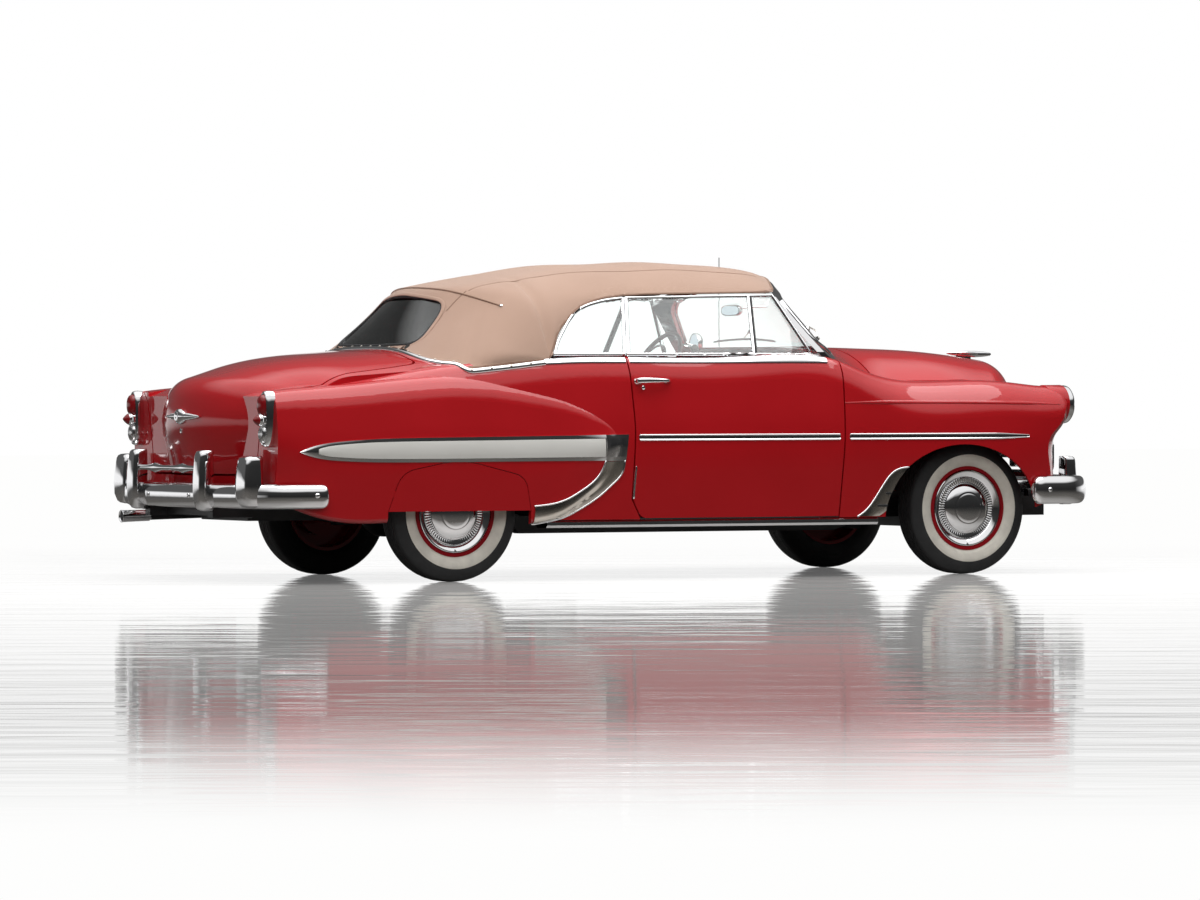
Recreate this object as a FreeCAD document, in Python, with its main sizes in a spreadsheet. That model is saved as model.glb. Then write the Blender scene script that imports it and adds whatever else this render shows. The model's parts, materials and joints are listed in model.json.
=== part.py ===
import FreeCAD, Part
import math
import os

import Sketcher

# A two-door convertible of the early 1950s, full size, in millimetres.
# +X points forward, +Y to the car's left, +Z up. The origin is on the ground, at mid-length.

Vector = FreeCAD.Vector
doc = FreeCAD.newDocument("Convertible")

# ---------------------------------------------------------------- driving dimensions
SIZES = [
    # alias, millimetres or degrees
    ("wheelbase", 2921),
    ("rear_axle_x", -1270),
    ("front_track", 1440),
    ("rear_track", 1492),
    ("kingpin_inset", 75),
    ("tyre_radius", 337),
    ("tyre_width", 170),
    ("rim_radius", 204),
    ("rim_width", 140),
    ("spindle_radius", 19),
    ("fit_gap", 0.5),
    ("front_sheet", 14),
    ("rear_sheet", 30),
    ("panel_gap", 8),
    ("hood_gap", 10),
    ("lid_gap", 10),
    ("seat_clearance", 0.3),
    ("seam_gap", 3),
    ("door_inner_y", 825),
    ("glass_thickness", 5),
    ("fabric_thickness", 12),
    ("seat_half_width", 660),
    ("rear_seat_half_width", 634),
    ("bumper_face", 2486),
    ("headlamp_radius", 98),
    ("headlamp_y", 738),
    ("headlamp_sink", 34),
    ("headlamp_z", 865),
    ("column_radius", 23),
    ("wheel_turn_radius", 215),
    ("steering_y", 360),
    ("column_tilt", 30),
    ("floor_z", 318),
    ("engine_length", 760),
    ("engine_width", 320),
    ("engine_height", 520),
    ("rail_half_spacing", 385),
    ("rail_width", 60),
]

sheet = doc.addObject("Spreadsheet::Sheet", "Sizes")
for row, (alias, value) in enumerate(SIZES, start=1):
    sheet.set("A%d" % row, alias)
    sheet.set("B%d" % row, str(value))
    sheet.setAlias("B%d" % row, alias)
doc.recompute()


def size(alias):
    return float(sheet.get(alias))


FRONT_AXLE_X = size("rear_axle_x") + size("wheelbase")
FRONT_AXLE = "(Sizes.rear_axle_x + Sizes.wheelbase)"
FRONT_SHEET = size("front_sheet")
REAR_SHEET = size("rear_sheet")
PANEL_GAP = size("panel_gap")
SEAM_GAP = size("seam_gap")
LID_GAP = size("lid_gap")
REST = size("seat_clearance")
LEFT_RIGHT = (("left", 1), ("right", -1))

parts = []


def keep(item, label):
    """Name an object as a sub-part that is written out."""
    item.Label = label
    parts.append(item)
    return item


def shaped(label, shape):
    """A sub-part whose form is worked out by Part's own functions."""
    item = doc.addObject("Part::Feature", label)
    item.Shape = shape
    item.Placement = FreeCAD.Placement()
    return keep(item, label)


def bind(item, **expressions):
    """Tie properties to the sheet; place_x stands for Placement.Base.x."""
    for name, expression in expressions.items():
        if name.startswith("place_"):
            name = "Placement.Base." + name[-1]
        item.setExpression(name, expression)
    return item


# ---------------------------------------------------------------- sketches and solids
def plane_of(body, role):
    return [plane for plane in body.Origin.OriginFeatures if plane.Role == role][0]


def outline_sketch(body, role, corners):
    """A closed outline of straight runs whose corners are expressions of the sheet."""
    sketch = body.newObject("Sketcher::SketchObject", body.Name + "_outline")
    sketch.AttachmentSupport = (plane_of(body, role), [""])
    sketch.MapMode = "FlatFace"
    places = []
    for across, up in corners:
        places.append(Vector(sheet.evalExpression(across), sheet.evalExpression(up), 0))
    count = len(places)
    for number in range(count):
        run = Part.LineSegment(places[number], places[(number + 1) % count])
        sketch.addGeometry(run, False)
    for number in range(count):
        sketch.addConstraint(Sketcher.Constraint("Coincident", number, 2, (number + 1) % count, 1))
    for number, (across, up) in enumerate(corners):
        for kind, expression in (("DistanceX", across), ("DistanceY", up)):
            value = sheet.evalExpression(expression)
            index = sketch.addConstraint(Sketcher.Constraint(kind, -1, 1, number, 1, value))
            sketch.setExpression("Constraints[%d]" % index, expression)
    return sketch


def turned(label, corners, axis="Y"):
    """A PartDesign body turned about Y (corners are y, radius) or X (corners are x, radius)."""
    body = doc.addObject("PartDesign::Body", label)
    role = "YZ_Plane" if axis == "Y" else "XZ_Plane"
    sketch = outline_sketch(body, role, corners)
    turn = body.newObject("PartDesign::Revolution", label + "_turn")
    turn.Profile = (sketch, [""])
    turn.ReferenceAxis = (sketch, ["H_Axis"])
    turn.Angle = 360
    return body


def padded(label, corners, width, middle="0"):
    """A PartDesign body with a side outline (x, z), padded to a width across the car."""
    body = doc.addObject("PartDesign::Body", label)
    sketch = outline_sketch(body, "XZ_Plane", corners)
    pad = body.newObject("PartDesign::Pad", label + "_pad")
    pad.Profile = (sketch, [""])
    pad.setExpression("Length", width)
    body.setExpression("Placement.Base.y", "(%s) + (%s) / 2" % (middle, width))
    return body


def box(label, corner, sides):
    """A Part box; corner and sides are expressions."""
    item = doc.addObject("Part::Box", label)
    bind(item, place_x=corner[0], place_y=corner[1], place_z=corner[2])
    bind(item, Length=sides[0], Width=sides[1], Height=sides[2])
    return item


def rod(label, start, direction, radius, length):
    """A Part cylinder from a start point along a direction; sizes are expressions."""
    item = doc.addObject("Part::Cylinder", label)
    turn = FreeCAD.Rotation(Vector(0, 0, 1), Vector(*direction))
    item.Placement = FreeCAD.Placement(Vector(0, 0, 0), turn)
    bind(item, place_x=start[0], place_y=start[1], place_z=start[2])
    bind(item, Radius=radius, Height=length)
    return item


def joined(label, items):
    fuse = doc.addObject("Part::MultiFuse", label)
    fuse.Shapes = items
    return fuse


def cut_away(label, base, tool):
    cut = doc.addObject("Part::Cut", label)
    cut.Base = base
    cut.Tool = tool
    return cut


# ---------------------------------------------------------------- rounded outlines
def rounded_edges(corners, closed=True):
    """Lines and tangent arcs round a polygon; each corner is (point, share of its shorter leg)."""
    count = len(corners)
    turns = []
    for number, (point, share) in enumerate(corners):
        at_end = not closed and number in (0, count - 1)
        if share == 0 or at_end:
            turns.append((point, None, point))
            continue
        back = corners[number - 1][0].sub(point)
        ahead = corners[(number + 1) % count][0].sub(point)
        reach = share * min(back.Length, ahead.Length)
        back.normalize()
        ahead.normalize()
        half_angle = back.getAngle(ahead) / 2
        inward = back.add(ahead).normalize()
        radius = reach * math.tan(half_angle)
        crest = point + inward * (reach / math.cos(half_angle) - radius)
        turns.append((point + back * reach, crest, point + ahead * reach))
    edges = []
    last = count if closed else count - 1
    for number in range(count):
        start, crest, end = turns[number]
        if crest is not None:
            edges.append(Part.Arc(start, crest, end).toShape())
        following = turns[(number + 1) % count][0]
        if number < last and end.distanceToPoint(following) > 0.001:
            edges.append(Part.makeLine(end, following))
    return edges


def rounded_wire(corners):
    return Part.Wire(rounded_edges(corners))


def side_prism(corners, low_y, high_y):
    """A prism across the car with a side outline of (x, z, share) corners."""
    wire = rounded_wire([(Vector(x, low_y, z), share) for x, z, share in corners])
    return Part.Face(wire).extrude(Vector(0, high_y - low_y, 0))


def plan_prism(corners, low_z, high_z):
    """An upright prism with a plan outline of (x, y, share) corners."""
    wire = rounded_wire([(Vector(x, y, low_z), share) for x, y, share in corners])
    return Part.Face(wire).extrude(Vector(0, 0, high_z - low_z))


def end_prism(corners, low_x, high_x):
    """A lengthwise prism with an end outline of (y, z, share) corners."""
    wire = rounded_wire([(Vector(low_x, y, z), share) for y, z, share in corners])
    return Part.Face(wire).extrude(Vector(high_x - low_x, 0, 0))


def both_sides(half):
    """Mirror (x, y, share) corners of the left half to a closed plan outline."""
    return half + [(x, -y, share) for x, y, share in reversed(half)]


def block(low, high):
    """An axis-aligned box between two corners."""
    sides = [high[k] - low[k] for k in range(3)]
    return Part.makeBox(sides[0], sides[1], sides[2], Vector(*low))


def mirrored(shape):
    return shape.mirror(Vector(0, 0, 0), Vector(0, 1, 0))


# ---------------------------------------------------------------- body surfaces
def blend(rows, place, column):
    """Smooth monotone value of a table's column at a place along its first column."""
    knots = [row[0] for row in rows]
    values = [row[column] for row in rows]
    count = len(knots)
    first = 0
    while first < count - 2 and place > knots[first + 1]:
        first += 1
    steps = [knots[k + 1] - knots[k] for k in range(count - 1)]
    grades = [(values[k + 1] - values[k]) / steps[k] for k in range(count - 1)]

    def slope(k):
        if k == 0 or k == count - 1:
            return grades[min(k, count - 2)]
        before, after = grades[k - 1], grades[k]
        if before * after <= 0:
            return 0.0
        heavy = steps[k] + 2 * steps[k - 1]
        light = 2 * steps[k] + steps[k - 1]
        return (heavy + light) / (light / before + heavy / after)

    span = steps[first]
    part = (place - knots[first]) / span
    rise = part * part * (3 - 2 * part)
    start_pull = slope(first) * span * part * (1 - part) ** 2
    end_pull = slope(first + 1) * span * part * part * (part - 1)
    return values[first] * (1 - rise) + values[first + 1] * rise + start_pull + end_pull


# Half cross-sections of the main body, from tail to headlamps, each column a corner's
# distance from the centreline and height: sill, widest line, shoulder crease, top and valley.
MAIN_BODY = [
    # x, sill y z, side y z, crease y z, top y z, valley y z
    (-2250, 800, 400, 850, 670, 812, 850, 752, 905, 660, 912),
    (-2100, 850, 352, 885, 670, 842, 880, 778, 945, 680, 955),
    (-1700, 890, 326, 915, 680, 862, 935, 800, 1003, 700, 1012),
    (-1250, 905, 306, 930, 690, 880, 985, 828, 1066, 740, 1078),
    (-850, 912, 302, 938, 700, 897, 1008, 852, 1094, 780, 1100),
    (-340, 915, 300, 941, 700, 903, 1022, 862, 1106, 790, 1110),
    (350, 915, 300, 941, 700, 904, 1025, 864, 1108, 795, 1112),
    (863, 910, 300, 939, 700, 908, 1000, 866, 1082, 800, 1098),
    (1203, 912, 300, 941, 670, 922, 888, 806, 1010, 640, 985),
    (1650, 908, 302, 937, 645, 915, 880, 785, 1003, 590, 962),
    (2000, 882, 340, 915, 645, 902, 872, 775, 985, 560, 935),
    (2150, 840, 410, 890, 660, 886, 868, 770, 972, 560, 918),
    (2205, 800, 462, 864, 690, 868, 862, 764, 964, 570, 905),
    (2235, 768, 490, 830, 700, 838, 858, 752, 950, 576, 897),
    (2250, 740, 500, 796, 704, 804, 856, 736, 936, 580, 890),
]
BODY_ROUNDING = (0, 0.45, 0.45, 0.45, 0.3)
UNDERCUT = 60

# The rear fender stands proud of the main body between a lower and an upper edge.
REAR_FENDER = [
    # x, lower edge z, upper edge z, proud of the main body
    (-2250, 420, 938, 34),
    (-2121, 352, 952, 26),
    (-1600, 300, 1000, 26),
    (-1061, 290, 1004, 19),
    (-850, 290, 968, 18),
    (-700, 345, 930, 18),
    (-550, 455, 862, 16),
    (-440, 575, 775, 8),
    (-412, 640, 720, -4),
]

HOOD_SECTIONS = (0, 220, 400, 540, 640, 720, 800)
TRUNK_SECTIONS = (0, 230, 460, 660, 790)


def main_body(inset):
    """The long slab from tail to headlamps; an inset makes the inside, open below."""
    wires = []
    for row in MAIN_BODY:
        half = []
        for corner, share in enumerate(BODY_ROUNDING):
            y, z = row[1 + 2 * corner], row[2 + 2 * corner]
            drop = (UNDERCUT if inset else 0, 0, 0.3 * inset, inset, inset)[corner]
            half.append((y - (inset if corner < 4 else 0), z - drop, share))
        x = row[0]
        if row is MAIN_BODY[0]:
            x += inset
        if row is MAIN_BODY[-1]:
            x -= inset
        corners = [(Vector(x, y, z), share) for y, z, share in half]
        corners += [(Vector(x, -y, z), share) for y, z, share in reversed(half)]
        wires.append(rounded_wire(corners))
    return Part.makeLoft(wires, True, False)


def across(stations):
    return [-y for y in reversed(stations[1:])] + list(stations)


def crown_loft(stations, profile, inset):
    """A loft across the car of lengthwise profiles, narrowed by the inset."""
    widest = stations[-1]
    wires = []
    for y in across(stations):
        place = y * (1 - inset / widest)
        corners = [(Vector(x, place, z), share) for x, z, share in profile(abs(y), inset)]
        wires.append(rounded_wire(corners))
    return Part.makeLoft(wires, True, False)


def hood_profile(y, inset):
    fall = 176 * (y / 620) ** 2.6
    cowl_fall = 62 * (y / 800) ** 5
    sweep = 0.0007 * y * y
    return [
        (760, 1160 - cowl_fall - inset, 0),
        (930, 1162 - cowl_fall - 0.12 * fall - inset, 0.4),
        (1220, 1163 - fall - inset, 0.4),
        (1750, 1147 - 1.05 * fall - inset, 0.45),
        (2225 - sweep - inset, 1085 - 1.08 * fall - inset, 0.45),
        (2275 - sweep - inset, 800, 0.3),
        (2242 - sweep - inset, 712, 0),
        (760, 712, 0),
    ]


def trunk_profile(y, inset):
    fall = 29 * (y / 500) ** 2.8
    sweep = 0.00046 * y * y
    foot = UNDERCUT if inset else 0
    return [
        (-1150, 1166 - fall - inset, 0),
        (-1900, 1108 - fall - inset, 0.45),
        (-2335 + sweep + inset, 985 - fall - inset, 0.45),
        (-2388 + sweep + inset, 800, 0.45),
        (-2320 + sweep + inset, 480 - foot, 0),
        (-1150, 480 - foot, 0),
    ]


def rear_fender(side, inset):
    wires = []
    for x, low, high, proud in REAR_FENDER:
        out = proud - inset
        sill_y = blend(MAIN_BODY, x, 1) + out
        side_y = blend(MAIN_BODY, x, 3) + out
        crease_y = blend(MAIN_BODY, x, 5) + out
        foot = low - (UNDERCUT if inset else 0)
        top = high - inset
        corners = [
            (700, foot, 0),
            (sill_y, foot, 0.1),
            (side_y, (low + high) / 2, 0.4),
            (0.35 * side_y + 0.65 * crease_y, top - 0.12 * (high - low), 0.4),
            (crease_y - 40, top, 0.45),
            (700, top - 6, 0),
        ]
        place = x
        if x == REAR_FENDER[0][0]:
            place += inset
        if x == REAR_FENDER[-1][0]:
            place -= inset
        wires.append(rounded_wire([(Vector(place, side * y, z), share) for y, z, share in corners]))
    return Part.makeLoft(wires, True, False)


# The front corners turn under the headlamps and round towards the sides.
NOSE_SIDE = [
    # x, z, corner share
    (2200, 1010, 0),
    (2214, 974, 0.3),
    (2232, 933, 0.3),
    (2244, 866, 0.4),
    (2238, 799, 0.4),
    (2208, 753, 0.4),
    (2160, 702, 0.4),
    (2148, 635, 0.4),
    (2155, 532, 0.3),
    (2158, 150, 0),
]
NOSE_PLAN = [
    # distance from the centreline, how far ahead of the side outline
    (540, 110),
    (640, 80),
    (740, 33),
    (820, -13),
    (880, -62),
    (960, -160),
]


def ahead_of_nose(side, inset):
    """All that lies in front of a front corner."""
    wires = []
    for y, ahead in NOSE_PLAN:
        outline = [(x + ahead - 1.15 * inset, z + 0.4 * inset, share) for x, z, share in NOSE_SIDE]
        outline += [(2500, 150, 0), (2500, 1010 + 0.4 * inset, 0)]
        wires.append(rounded_wire([(Vector(x, side * y, z), share) for x, z, share in outline]))
    return Part.makeLoft(wires, True, False)


def nose_cut(inset):
    return [ahead_of_nose(1, inset), ahead_of_nose(-1, inset)]


slab = main_body(0)
front_skin = slab.cut(nose_cut(0)).fuse(crown_loft(HOOD_SECTIONS, hood_profile, 0))
front_core = main_body(FRONT_SHEET).cut(nose_cut(FRONT_SHEET))
front_core = front_core.fuse(crown_loft(HOOD_SECTIONS, hood_profile, FRONT_SHEET))
front_shell = front_skin.common(block((750, -1000, 150), (2400, 1000, 1300))).cut(front_core)

rear_skin = slab.fuse([crown_loft(TRUNK_SECTIONS, trunk_profile, 0), rear_fender(1, 0), rear_fender(-1, 0)])
rear_core = main_body(REAR_SHEET).fuse(
    [
        crown_loft(TRUNK_SECTIONS, trunk_profile, REAR_SHEET),
        rear_fender(1, REAR_SHEET),
        rear_fender(-1, REAR_SHEET),
    ]
)
rear_shell = rear_skin.common(block((-2450, -1000, 150), (-200, 1000, 1300))).cut(rear_core)

# ---------------------------------------------------------------- cut lines
DOOR_FRONT = [(858, 1130), (853, 700), (829, 306)]
DOOR_REAR = [(-292, 306), (-342, 400), (-328, 750), (-348, 1130)]
HOOD_REAR_X = 1195
COWL_REAR_X = 775
DECK_REAR_X = -1425
CABIN_REAR_X = -1340
LID_FOOT_Z = 532


def moved(points, shift_x):
    return [(x + shift_x, z) for x, z in points]


def wide_of_hood(shift):
    """Left half of the hood's plan outline, moved outward by a shift."""
    return [
        (HOOD_REAR_X - shift, 622 + shift, 0),
        (1650, 588 + shift, 0),
        (2000, 520 + shift, 0),
        (2400, 470 + shift, 0),
    ]


def wide_of_lid(shift):
    """Left half of the trunk lid's plan outline, moved outward by a shift."""
    return [
        (DECK_REAR_X + shift, 0, 0),
        (DECK_REAR_X + shift, 690 + shift, 0.25),
        (-1600, 722 + shift, 0.2),
        (-1920, 756 + shift, 0.2),
        (-2450, 756 + shift, 0),
    ]


def lid_region(shift):
    plan = wide_of_lid(shift)
    half = plan[1:]
    outline = plan_prism(both_sides(half[::-1]), 300, 1300)
    low_z = LID_FOOT_Z - shift
    flank = [(618 + shift, low_z, 0.08), (648 + shift, 690, 0.2), (700 + shift, 885, 0.2)]
    flank += [(790 + shift, 968, 0), (790 + shift, 1300, 0)]
    end = flank + [(-y, z, share) for y, z, share in reversed(flank)]
    return outline.common(end_prism(end, -2450, -1300))


# ---------------------------------------------------------------- front panels
HOOD_FOOT_Z = 770
GRILLE_LOW_Z = 512
GRILLE_HIGH_Z = 690
GRILLE_HALF_WIDTH = 615
FACE_X = MAIN_BODY[-1][0]
TAIL_X = MAIN_BODY[0][0]


def wheel_arch(centre_x, centre_z, half_length, height):
    """An elliptical prism right across the car."""
    oval = Part.Ellipse(Vector(0, 0, 0), half_length, height)
    face = Part.Face(Part.Wire(oval.toShape()))
    face.rotate(Vector(0, 0, 0), Vector(1, 0, 0), 90)
    face.translate(Vector(centre_x, 1000, centre_z))
    return face.extrude(Vector(0, -2000, 0))


ARCH_HALF_LENGTH = 452
ARCH_SETBACK = 98
ARCH_CENTRE_Z = 300
arch_top = 2 * size("tyre_radius") - 10
front_arch = wheel_arch(
    FRONT_AXLE_X - ARCH_SETBACK, ARCH_CENTRE_Z, ARCH_HALF_LENGTH, arch_top - ARCH_CENTRE_Z
)

hood_region = plan_prism(both_sides(wide_of_hood(0)), HOOD_FOOT_Z, 1300)
HOOD_PIN = Vector(1045, 0, 1110)
HINGE_Y = 230
ARM_WIDTH = 8
HOOD_PIN_RADIUS = 7
EYE_WALL = 6


def hinge_arms(pin, radius, outline, half_spacing, width):
    """A pair of goose-neck arms with a bored eye about the pin."""
    low_y = half_spacing - width / 2
    arm = side_prism([(pin.x + x, pin.z + z, share) for x, z, share in outline], low_y, low_y + width)
    eye = Part.makeCylinder(radius + EYE_WALL, width, Vector(pin.x, low_y, pin.z), Vector(0, 1, 0))
    bore = Part.makeCylinder(radius + REST, width + 2, Vector(pin.x, low_y - 1, pin.z), Vector(0, 1, 0))
    arm = arm.fuse(eye).cut(bore)
    return [arm, mirrored(arm)]


def hinge_pins(pin, radius, low_y, high_y):
    return [
        Part.makeCylinder(radius, high_y - low_y, Vector(pin.x, low, pin.z), Vector(0, 1, 0))
        for low in (low_y, -high_y)
    ]


HOOD_ARM = [
    # x and z from the pin, corner share
    (-8, -10, 0),
    (120, -146, 0.3),
    (152, -138, 0.3),
    (186, 26, 0),
    (164, 26, 0),
    (134, -108, 0.3),
    (8, 10, 0),
]
hood_skin = front_shell.common(hood_region)
shaped("hood", hood_skin.fuse(hinge_arms(HOOD_PIN, HOOD_PIN_RADIUS, HOOD_ARM, HINGE_Y, ARM_WIDTH)))

grille_opening = end_prism(
    [
        (-GRILLE_HALF_WIDTH, GRILLE_LOW_Z, 0.3),
        (GRILLE_HALF_WIDTH, GRILLE_LOW_Z, 0.3),
        (GRILLE_HALF_WIDTH, GRILLE_HIGH_Z, 0.3),
        (-GRILLE_HALF_WIDTH, GRILLE_HIGH_Z, 0.3),
    ],
    FACE_X - 60,
    FACE_X + 60,
)

lamp_holes = []
for side in (1, -1):
    place = Vector(FACE_X - 90, side * size("headlamp_y"), size("headlamp_z"))
    lamp_holes.append(Part.makeCylinder(size("headlamp_radius") + REST, 140, place, Vector(1, 0, 0)))

fender_edge = wide_of_hood(size("hood_gap"))
fender_side = [(x, z, 0) for x, z in moved(DOOR_FRONT, PANEL_GAP)]
fender_side += [(829 + PANEL_GAP, 280, 0), (2400, 280, 0), (2400, 1300, 0), (858 + PANEL_GAP, 1300, 0)]
fender_plan = [(COWL_REAR_X, 806, 0), (863, 806, 0)] + fender_edge
fender_plan += [(2400, 1000, 0), (COWL_REAR_X, 1000, 0)]
fender_block = plan_prism(fender_plan, 200, 1300).common(side_prism(fender_side, 0, 1000))
front_cuts = [front_arch, grille_opening] + lamp_holes
for side_name, side in LEFT_RIGHT:
    region = fender_block if side > 0 else mirrored(fender_block)
    shaped("front_fender_" + side_name, front_shell.common(region).cut(front_cuts))

nose_edge = wide_of_hood(size("hood_gap") - SEAM_GAP)
nose_block = plan_prism(both_sides(nose_edge[2:]), 200, HOOD_FOOT_Z - PANEL_GAP)
hood_rests = [
    block((2212, side * 220 - 20, 740), (2236, side * 220 + 20, HOOD_FOOT_Z - REST)) for side in (1, -1)
]
shaped("nose_panel", front_shell.common(nose_block).cut(grille_opening).fuse(hood_rests))

# The grille: a chrome surround, one bar, three upright teeth and two round parking lamps.
TOOTH_SPACING = 230
TOOTH_RADIUS = 27
TOOTH_HALF_HEIGHT = 62
LAMP_SPACING = 520
bar_z = (GRILLE_LOW_Z + GRILLE_HIGH_Z) / 2


def grille_ring(margin, low_x, high_x):
    wide = GRILLE_HALF_WIDTH + margin
    low, high = GRILLE_LOW_Z - margin, GRILLE_HIGH_Z + margin
    corners = [(-wide, low, 0.3), (wide, low, 0.3), (wide, high, 0.3), (-wide, high, 0.3)]
    return end_prism(corners, low_x, high_x)


ring = grille_ring(14, FACE_X, FACE_X + 14).cut(grille_ring(-14, FACE_X - 10, FACE_X + 30))
grille_pieces = [
    block(
        (FACE_X - 8, 20 - GRILLE_HALF_WIDTH, bar_z - 14), (FACE_X + 26, GRILLE_HALF_WIDTH - 20, bar_z + 14)
    ),
    block(
        (FACE_X - 2, 4 - GRILLE_HALF_WIDTH, bar_z - 12), (FACE_X + 12, GRILLE_HALF_WIDTH - 4, bar_z + 12)
    ),
]
for number in (-1, 0, 1):
    tooth = Part.Face(
        rounded_wire(
            [
                (Vector(0, 0, -TOOTH_HALF_HEIGHT), 0),
                (Vector(TOOTH_RADIUS, 0, -TOOTH_HALF_HEIGHT), 0.45),
                (Vector(TOOTH_RADIUS, 0, TOOTH_HALF_HEIGHT), 0.45),
                (Vector(0, 0, TOOTH_HALF_HEIGHT), 0),
            ]
        )
    ).revolve(Vector(0, 0, 0), Vector(0, 0, 1), 360)
    tooth.translate(Vector(FACE_X + 14, number * TOOTH_SPACING, bar_z))
    grille_pieces.append(tooth)
for side in (1, -1):
    place = Vector(FACE_X - 10, side * LAMP_SPACING, bar_z)
    grille_pieces.append(Part.makeCylinder(46, 36, place, Vector(1, 0, 0)))
shaped("grille", ring.fuse(grille_pieces))

# The cowl: its top under the windshield, the firewall and the door posts.
COWL_HALF_WIDTH = 780
FIREWALL_X = 1003
POST_X = 905
WALL = 6
cowl_plan = [
    (COWL_REAR_X, COWL_HALF_WIDTH, 0),
    (866, COWL_HALF_WIDTH, 0),
    (878, 786, 0),
    (HOOD_REAR_X - size("hood_gap"), 622, 0),
]
cowl_top = front_shell.common(plan_prism(both_sides(cowl_plan), 900, 1300))
floor_top = size("floor_z") + WALL
firewall = block((FIREWALL_X, -770, size("floor_z")), (FIREWALL_X + WALL, 770, 1300))
posts = [
    block((POST_X, side * 735 - 45, floor_top), (POST_X + 80, side * 735 + 45, 1300)) for side in (1, -1)
]
inside_cowl = front_core.common(plan_prism(both_sides(cowl_plan), 200, 1300))
cowl_walls = firewall.fuse(posts).common(inside_cowl)
column_axis = Vector(
    math.cos(math.radians(size("column_tilt"))), 0, -math.sin(math.radians(size("column_tilt")))
)
WHEEL_CENTRE = Vector(445, size("steering_y"), 1048)
column_hole = Part.makeCylinder(size("column_radius") + REST, 900, WHEEL_CENTRE, column_axis)
TUNNEL_HALF_WIDTH = 80
TUNNEL_TOP_Z = 460
tunnel_hole = block((900, -TUNNEL_HALF_WIDTH, 200), (1100, TUNNEL_HALF_WIDTH, TUNNEL_TOP_Z - WALL))
hinge_plate = side_prism(
    [(FIREWALL_X, HOOD_PIN.z - 30, 0), (HOOD_PIN.x + 14, HOOD_PIN.z - 14, 0.3),
     (HOOD_PIN.x + 14, HOOD_PIN.z + 14, 0.3), (FIREWALL_X, HOOD_PIN.z + 14, 0)],
    HINGE_Y - 18, HINGE_Y - 8,
)
hinge_brackets = [hinge_plate, mirrored(hinge_plate)]
hinge_brackets += hinge_pins(HOOD_PIN, HOOD_PIN_RADIUS, HINGE_Y - 10, HINGE_Y + 8)
# Door hinges: two straps a side from the post, each with an eye round the door's pin.
DOOR_PIN = Vector(785, 890, 0)
DOOR_PIN_RADIUS = 6
DOOR_EYE_RADIUS = 12
DOOR_HINGE_LEVELS = (480, 820)
STRAP_HEIGHT = 36
STRAP_OUTLINE = [
    # x and y of the left strap, corner share
    (788, 892.5, 0),
    (871, 787.5, 0.2),
    (920, 779, 0),
    (920, 762, 0),
    (865, 782.5, 0.2),
    (782, 887.5, 0),
]


def upright(radius, low_z, height):
    return Part.makeCylinder(radius, height, DOOR_PIN + Vector(0, 0, low_z), Vector(0, 0, 1))


def both_hands(shapes):
    return shapes + [mirrored(shape) for shape in shapes]


door_straps = []
for level in DOOR_HINGE_LEVELS:
    low_z = level - STRAP_HEIGHT / 2
    strap = plan_prism(STRAP_OUTLINE, low_z, low_z + STRAP_HEIGHT).fuse(
        upright(DOOR_EYE_RADIUS, low_z, STRAP_HEIGHT)
    )
    door_straps.append(strap.cut(upright(DOOR_PIN_RADIUS + REST, low_z - 1, STRAP_HEIGHT + 2)))
cowl_holes = [column_hole, tunnel_hole]
cowl_solid = cowl_top.fuse(cowl_walls).cut(cowl_holes).fuse(hinge_brackets + both_hands(door_straps))
shaped("cowl", cowl_solid)

# ---------------------------------------------------------------- rear panels
DECK_HALF_WIDTH = 693
TAIL_HALF_WIDTH = 640
cabin_edge = [(CABIN_REAR_X, 0, 0), (CABIN_REAR_X, 720, 0.3), (-1230, 800, 0.3), (-200, 800, 0)]
cabin_hole = plan_prism(both_sides(cabin_edge[1:]), 900, 1300)

LID_PIN = Vector(-1345, 0, 1119)
LID_PIN_RADIUS = 5
LID_HINGE_Y = 210
LID_ARM = [
    (8, 4, 0), (-38, -142, 0.3), (-72, -142, 0.3), (-128, 4, 0), (-104, 4, 0), (-62, -112, 0.3), (-8, 4, 0),
]
lid_skin = rear_shell.common(lid_region(0))
shaped("trunk_lid", lid_skin.fuse(hinge_arms(LID_PIN, LID_PIN_RADIUS, LID_ARM, LID_HINGE_Y, 12)))
lid_opening = lid_region(LID_GAP)


def deck_block(shift):
    return block((DECK_REAR_X - 100, -DECK_HALF_WIDTH - shift, 900), (-1250, DECK_HALF_WIDTH + shift, 1300))


def tail_block(shift):
    return block((-2450, -TAIL_HALF_WIDTH - shift, 150), (-2120, TAIL_HALF_WIDTH + shift, LID_FOOT_Z + 10))


hinge_pockets = []
for side in (1, -1):
    low_y = side * LID_HINGE_Y - 14
    hinge_pockets.append(block((DECK_REAR_X, low_y, 1000), (CABIN_REAR_X + 10, low_y + 28, 1135)))
deck = rear_shell.common(deck_block(0)).cut([lid_opening, cabin_hole] + hinge_pockets)
deck = deck.fuse(hinge_pins(LID_PIN, LID_PIN_RADIUS, LID_HINGE_Y - 16, LID_HINGE_Y + 16))
shaped("rear_deck", deck)
shaped("tail_panel", rear_shell.common(tail_block(0)).cut(lid_opening))


SKIRT_FOOT_Z = 350


def skirt_outline(shift):
    return [
        (-1680 - shift, SKIRT_FOOT_Z, 0),
        (-1614 - shift, 540 + shift, 0.35),
        (-1300, 602 + shift, 0.3),
        (-946 + shift, 515 + shift, 0.35),
        (-914 + shift, SKIRT_FOOT_Z, 0),
    ]


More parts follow.
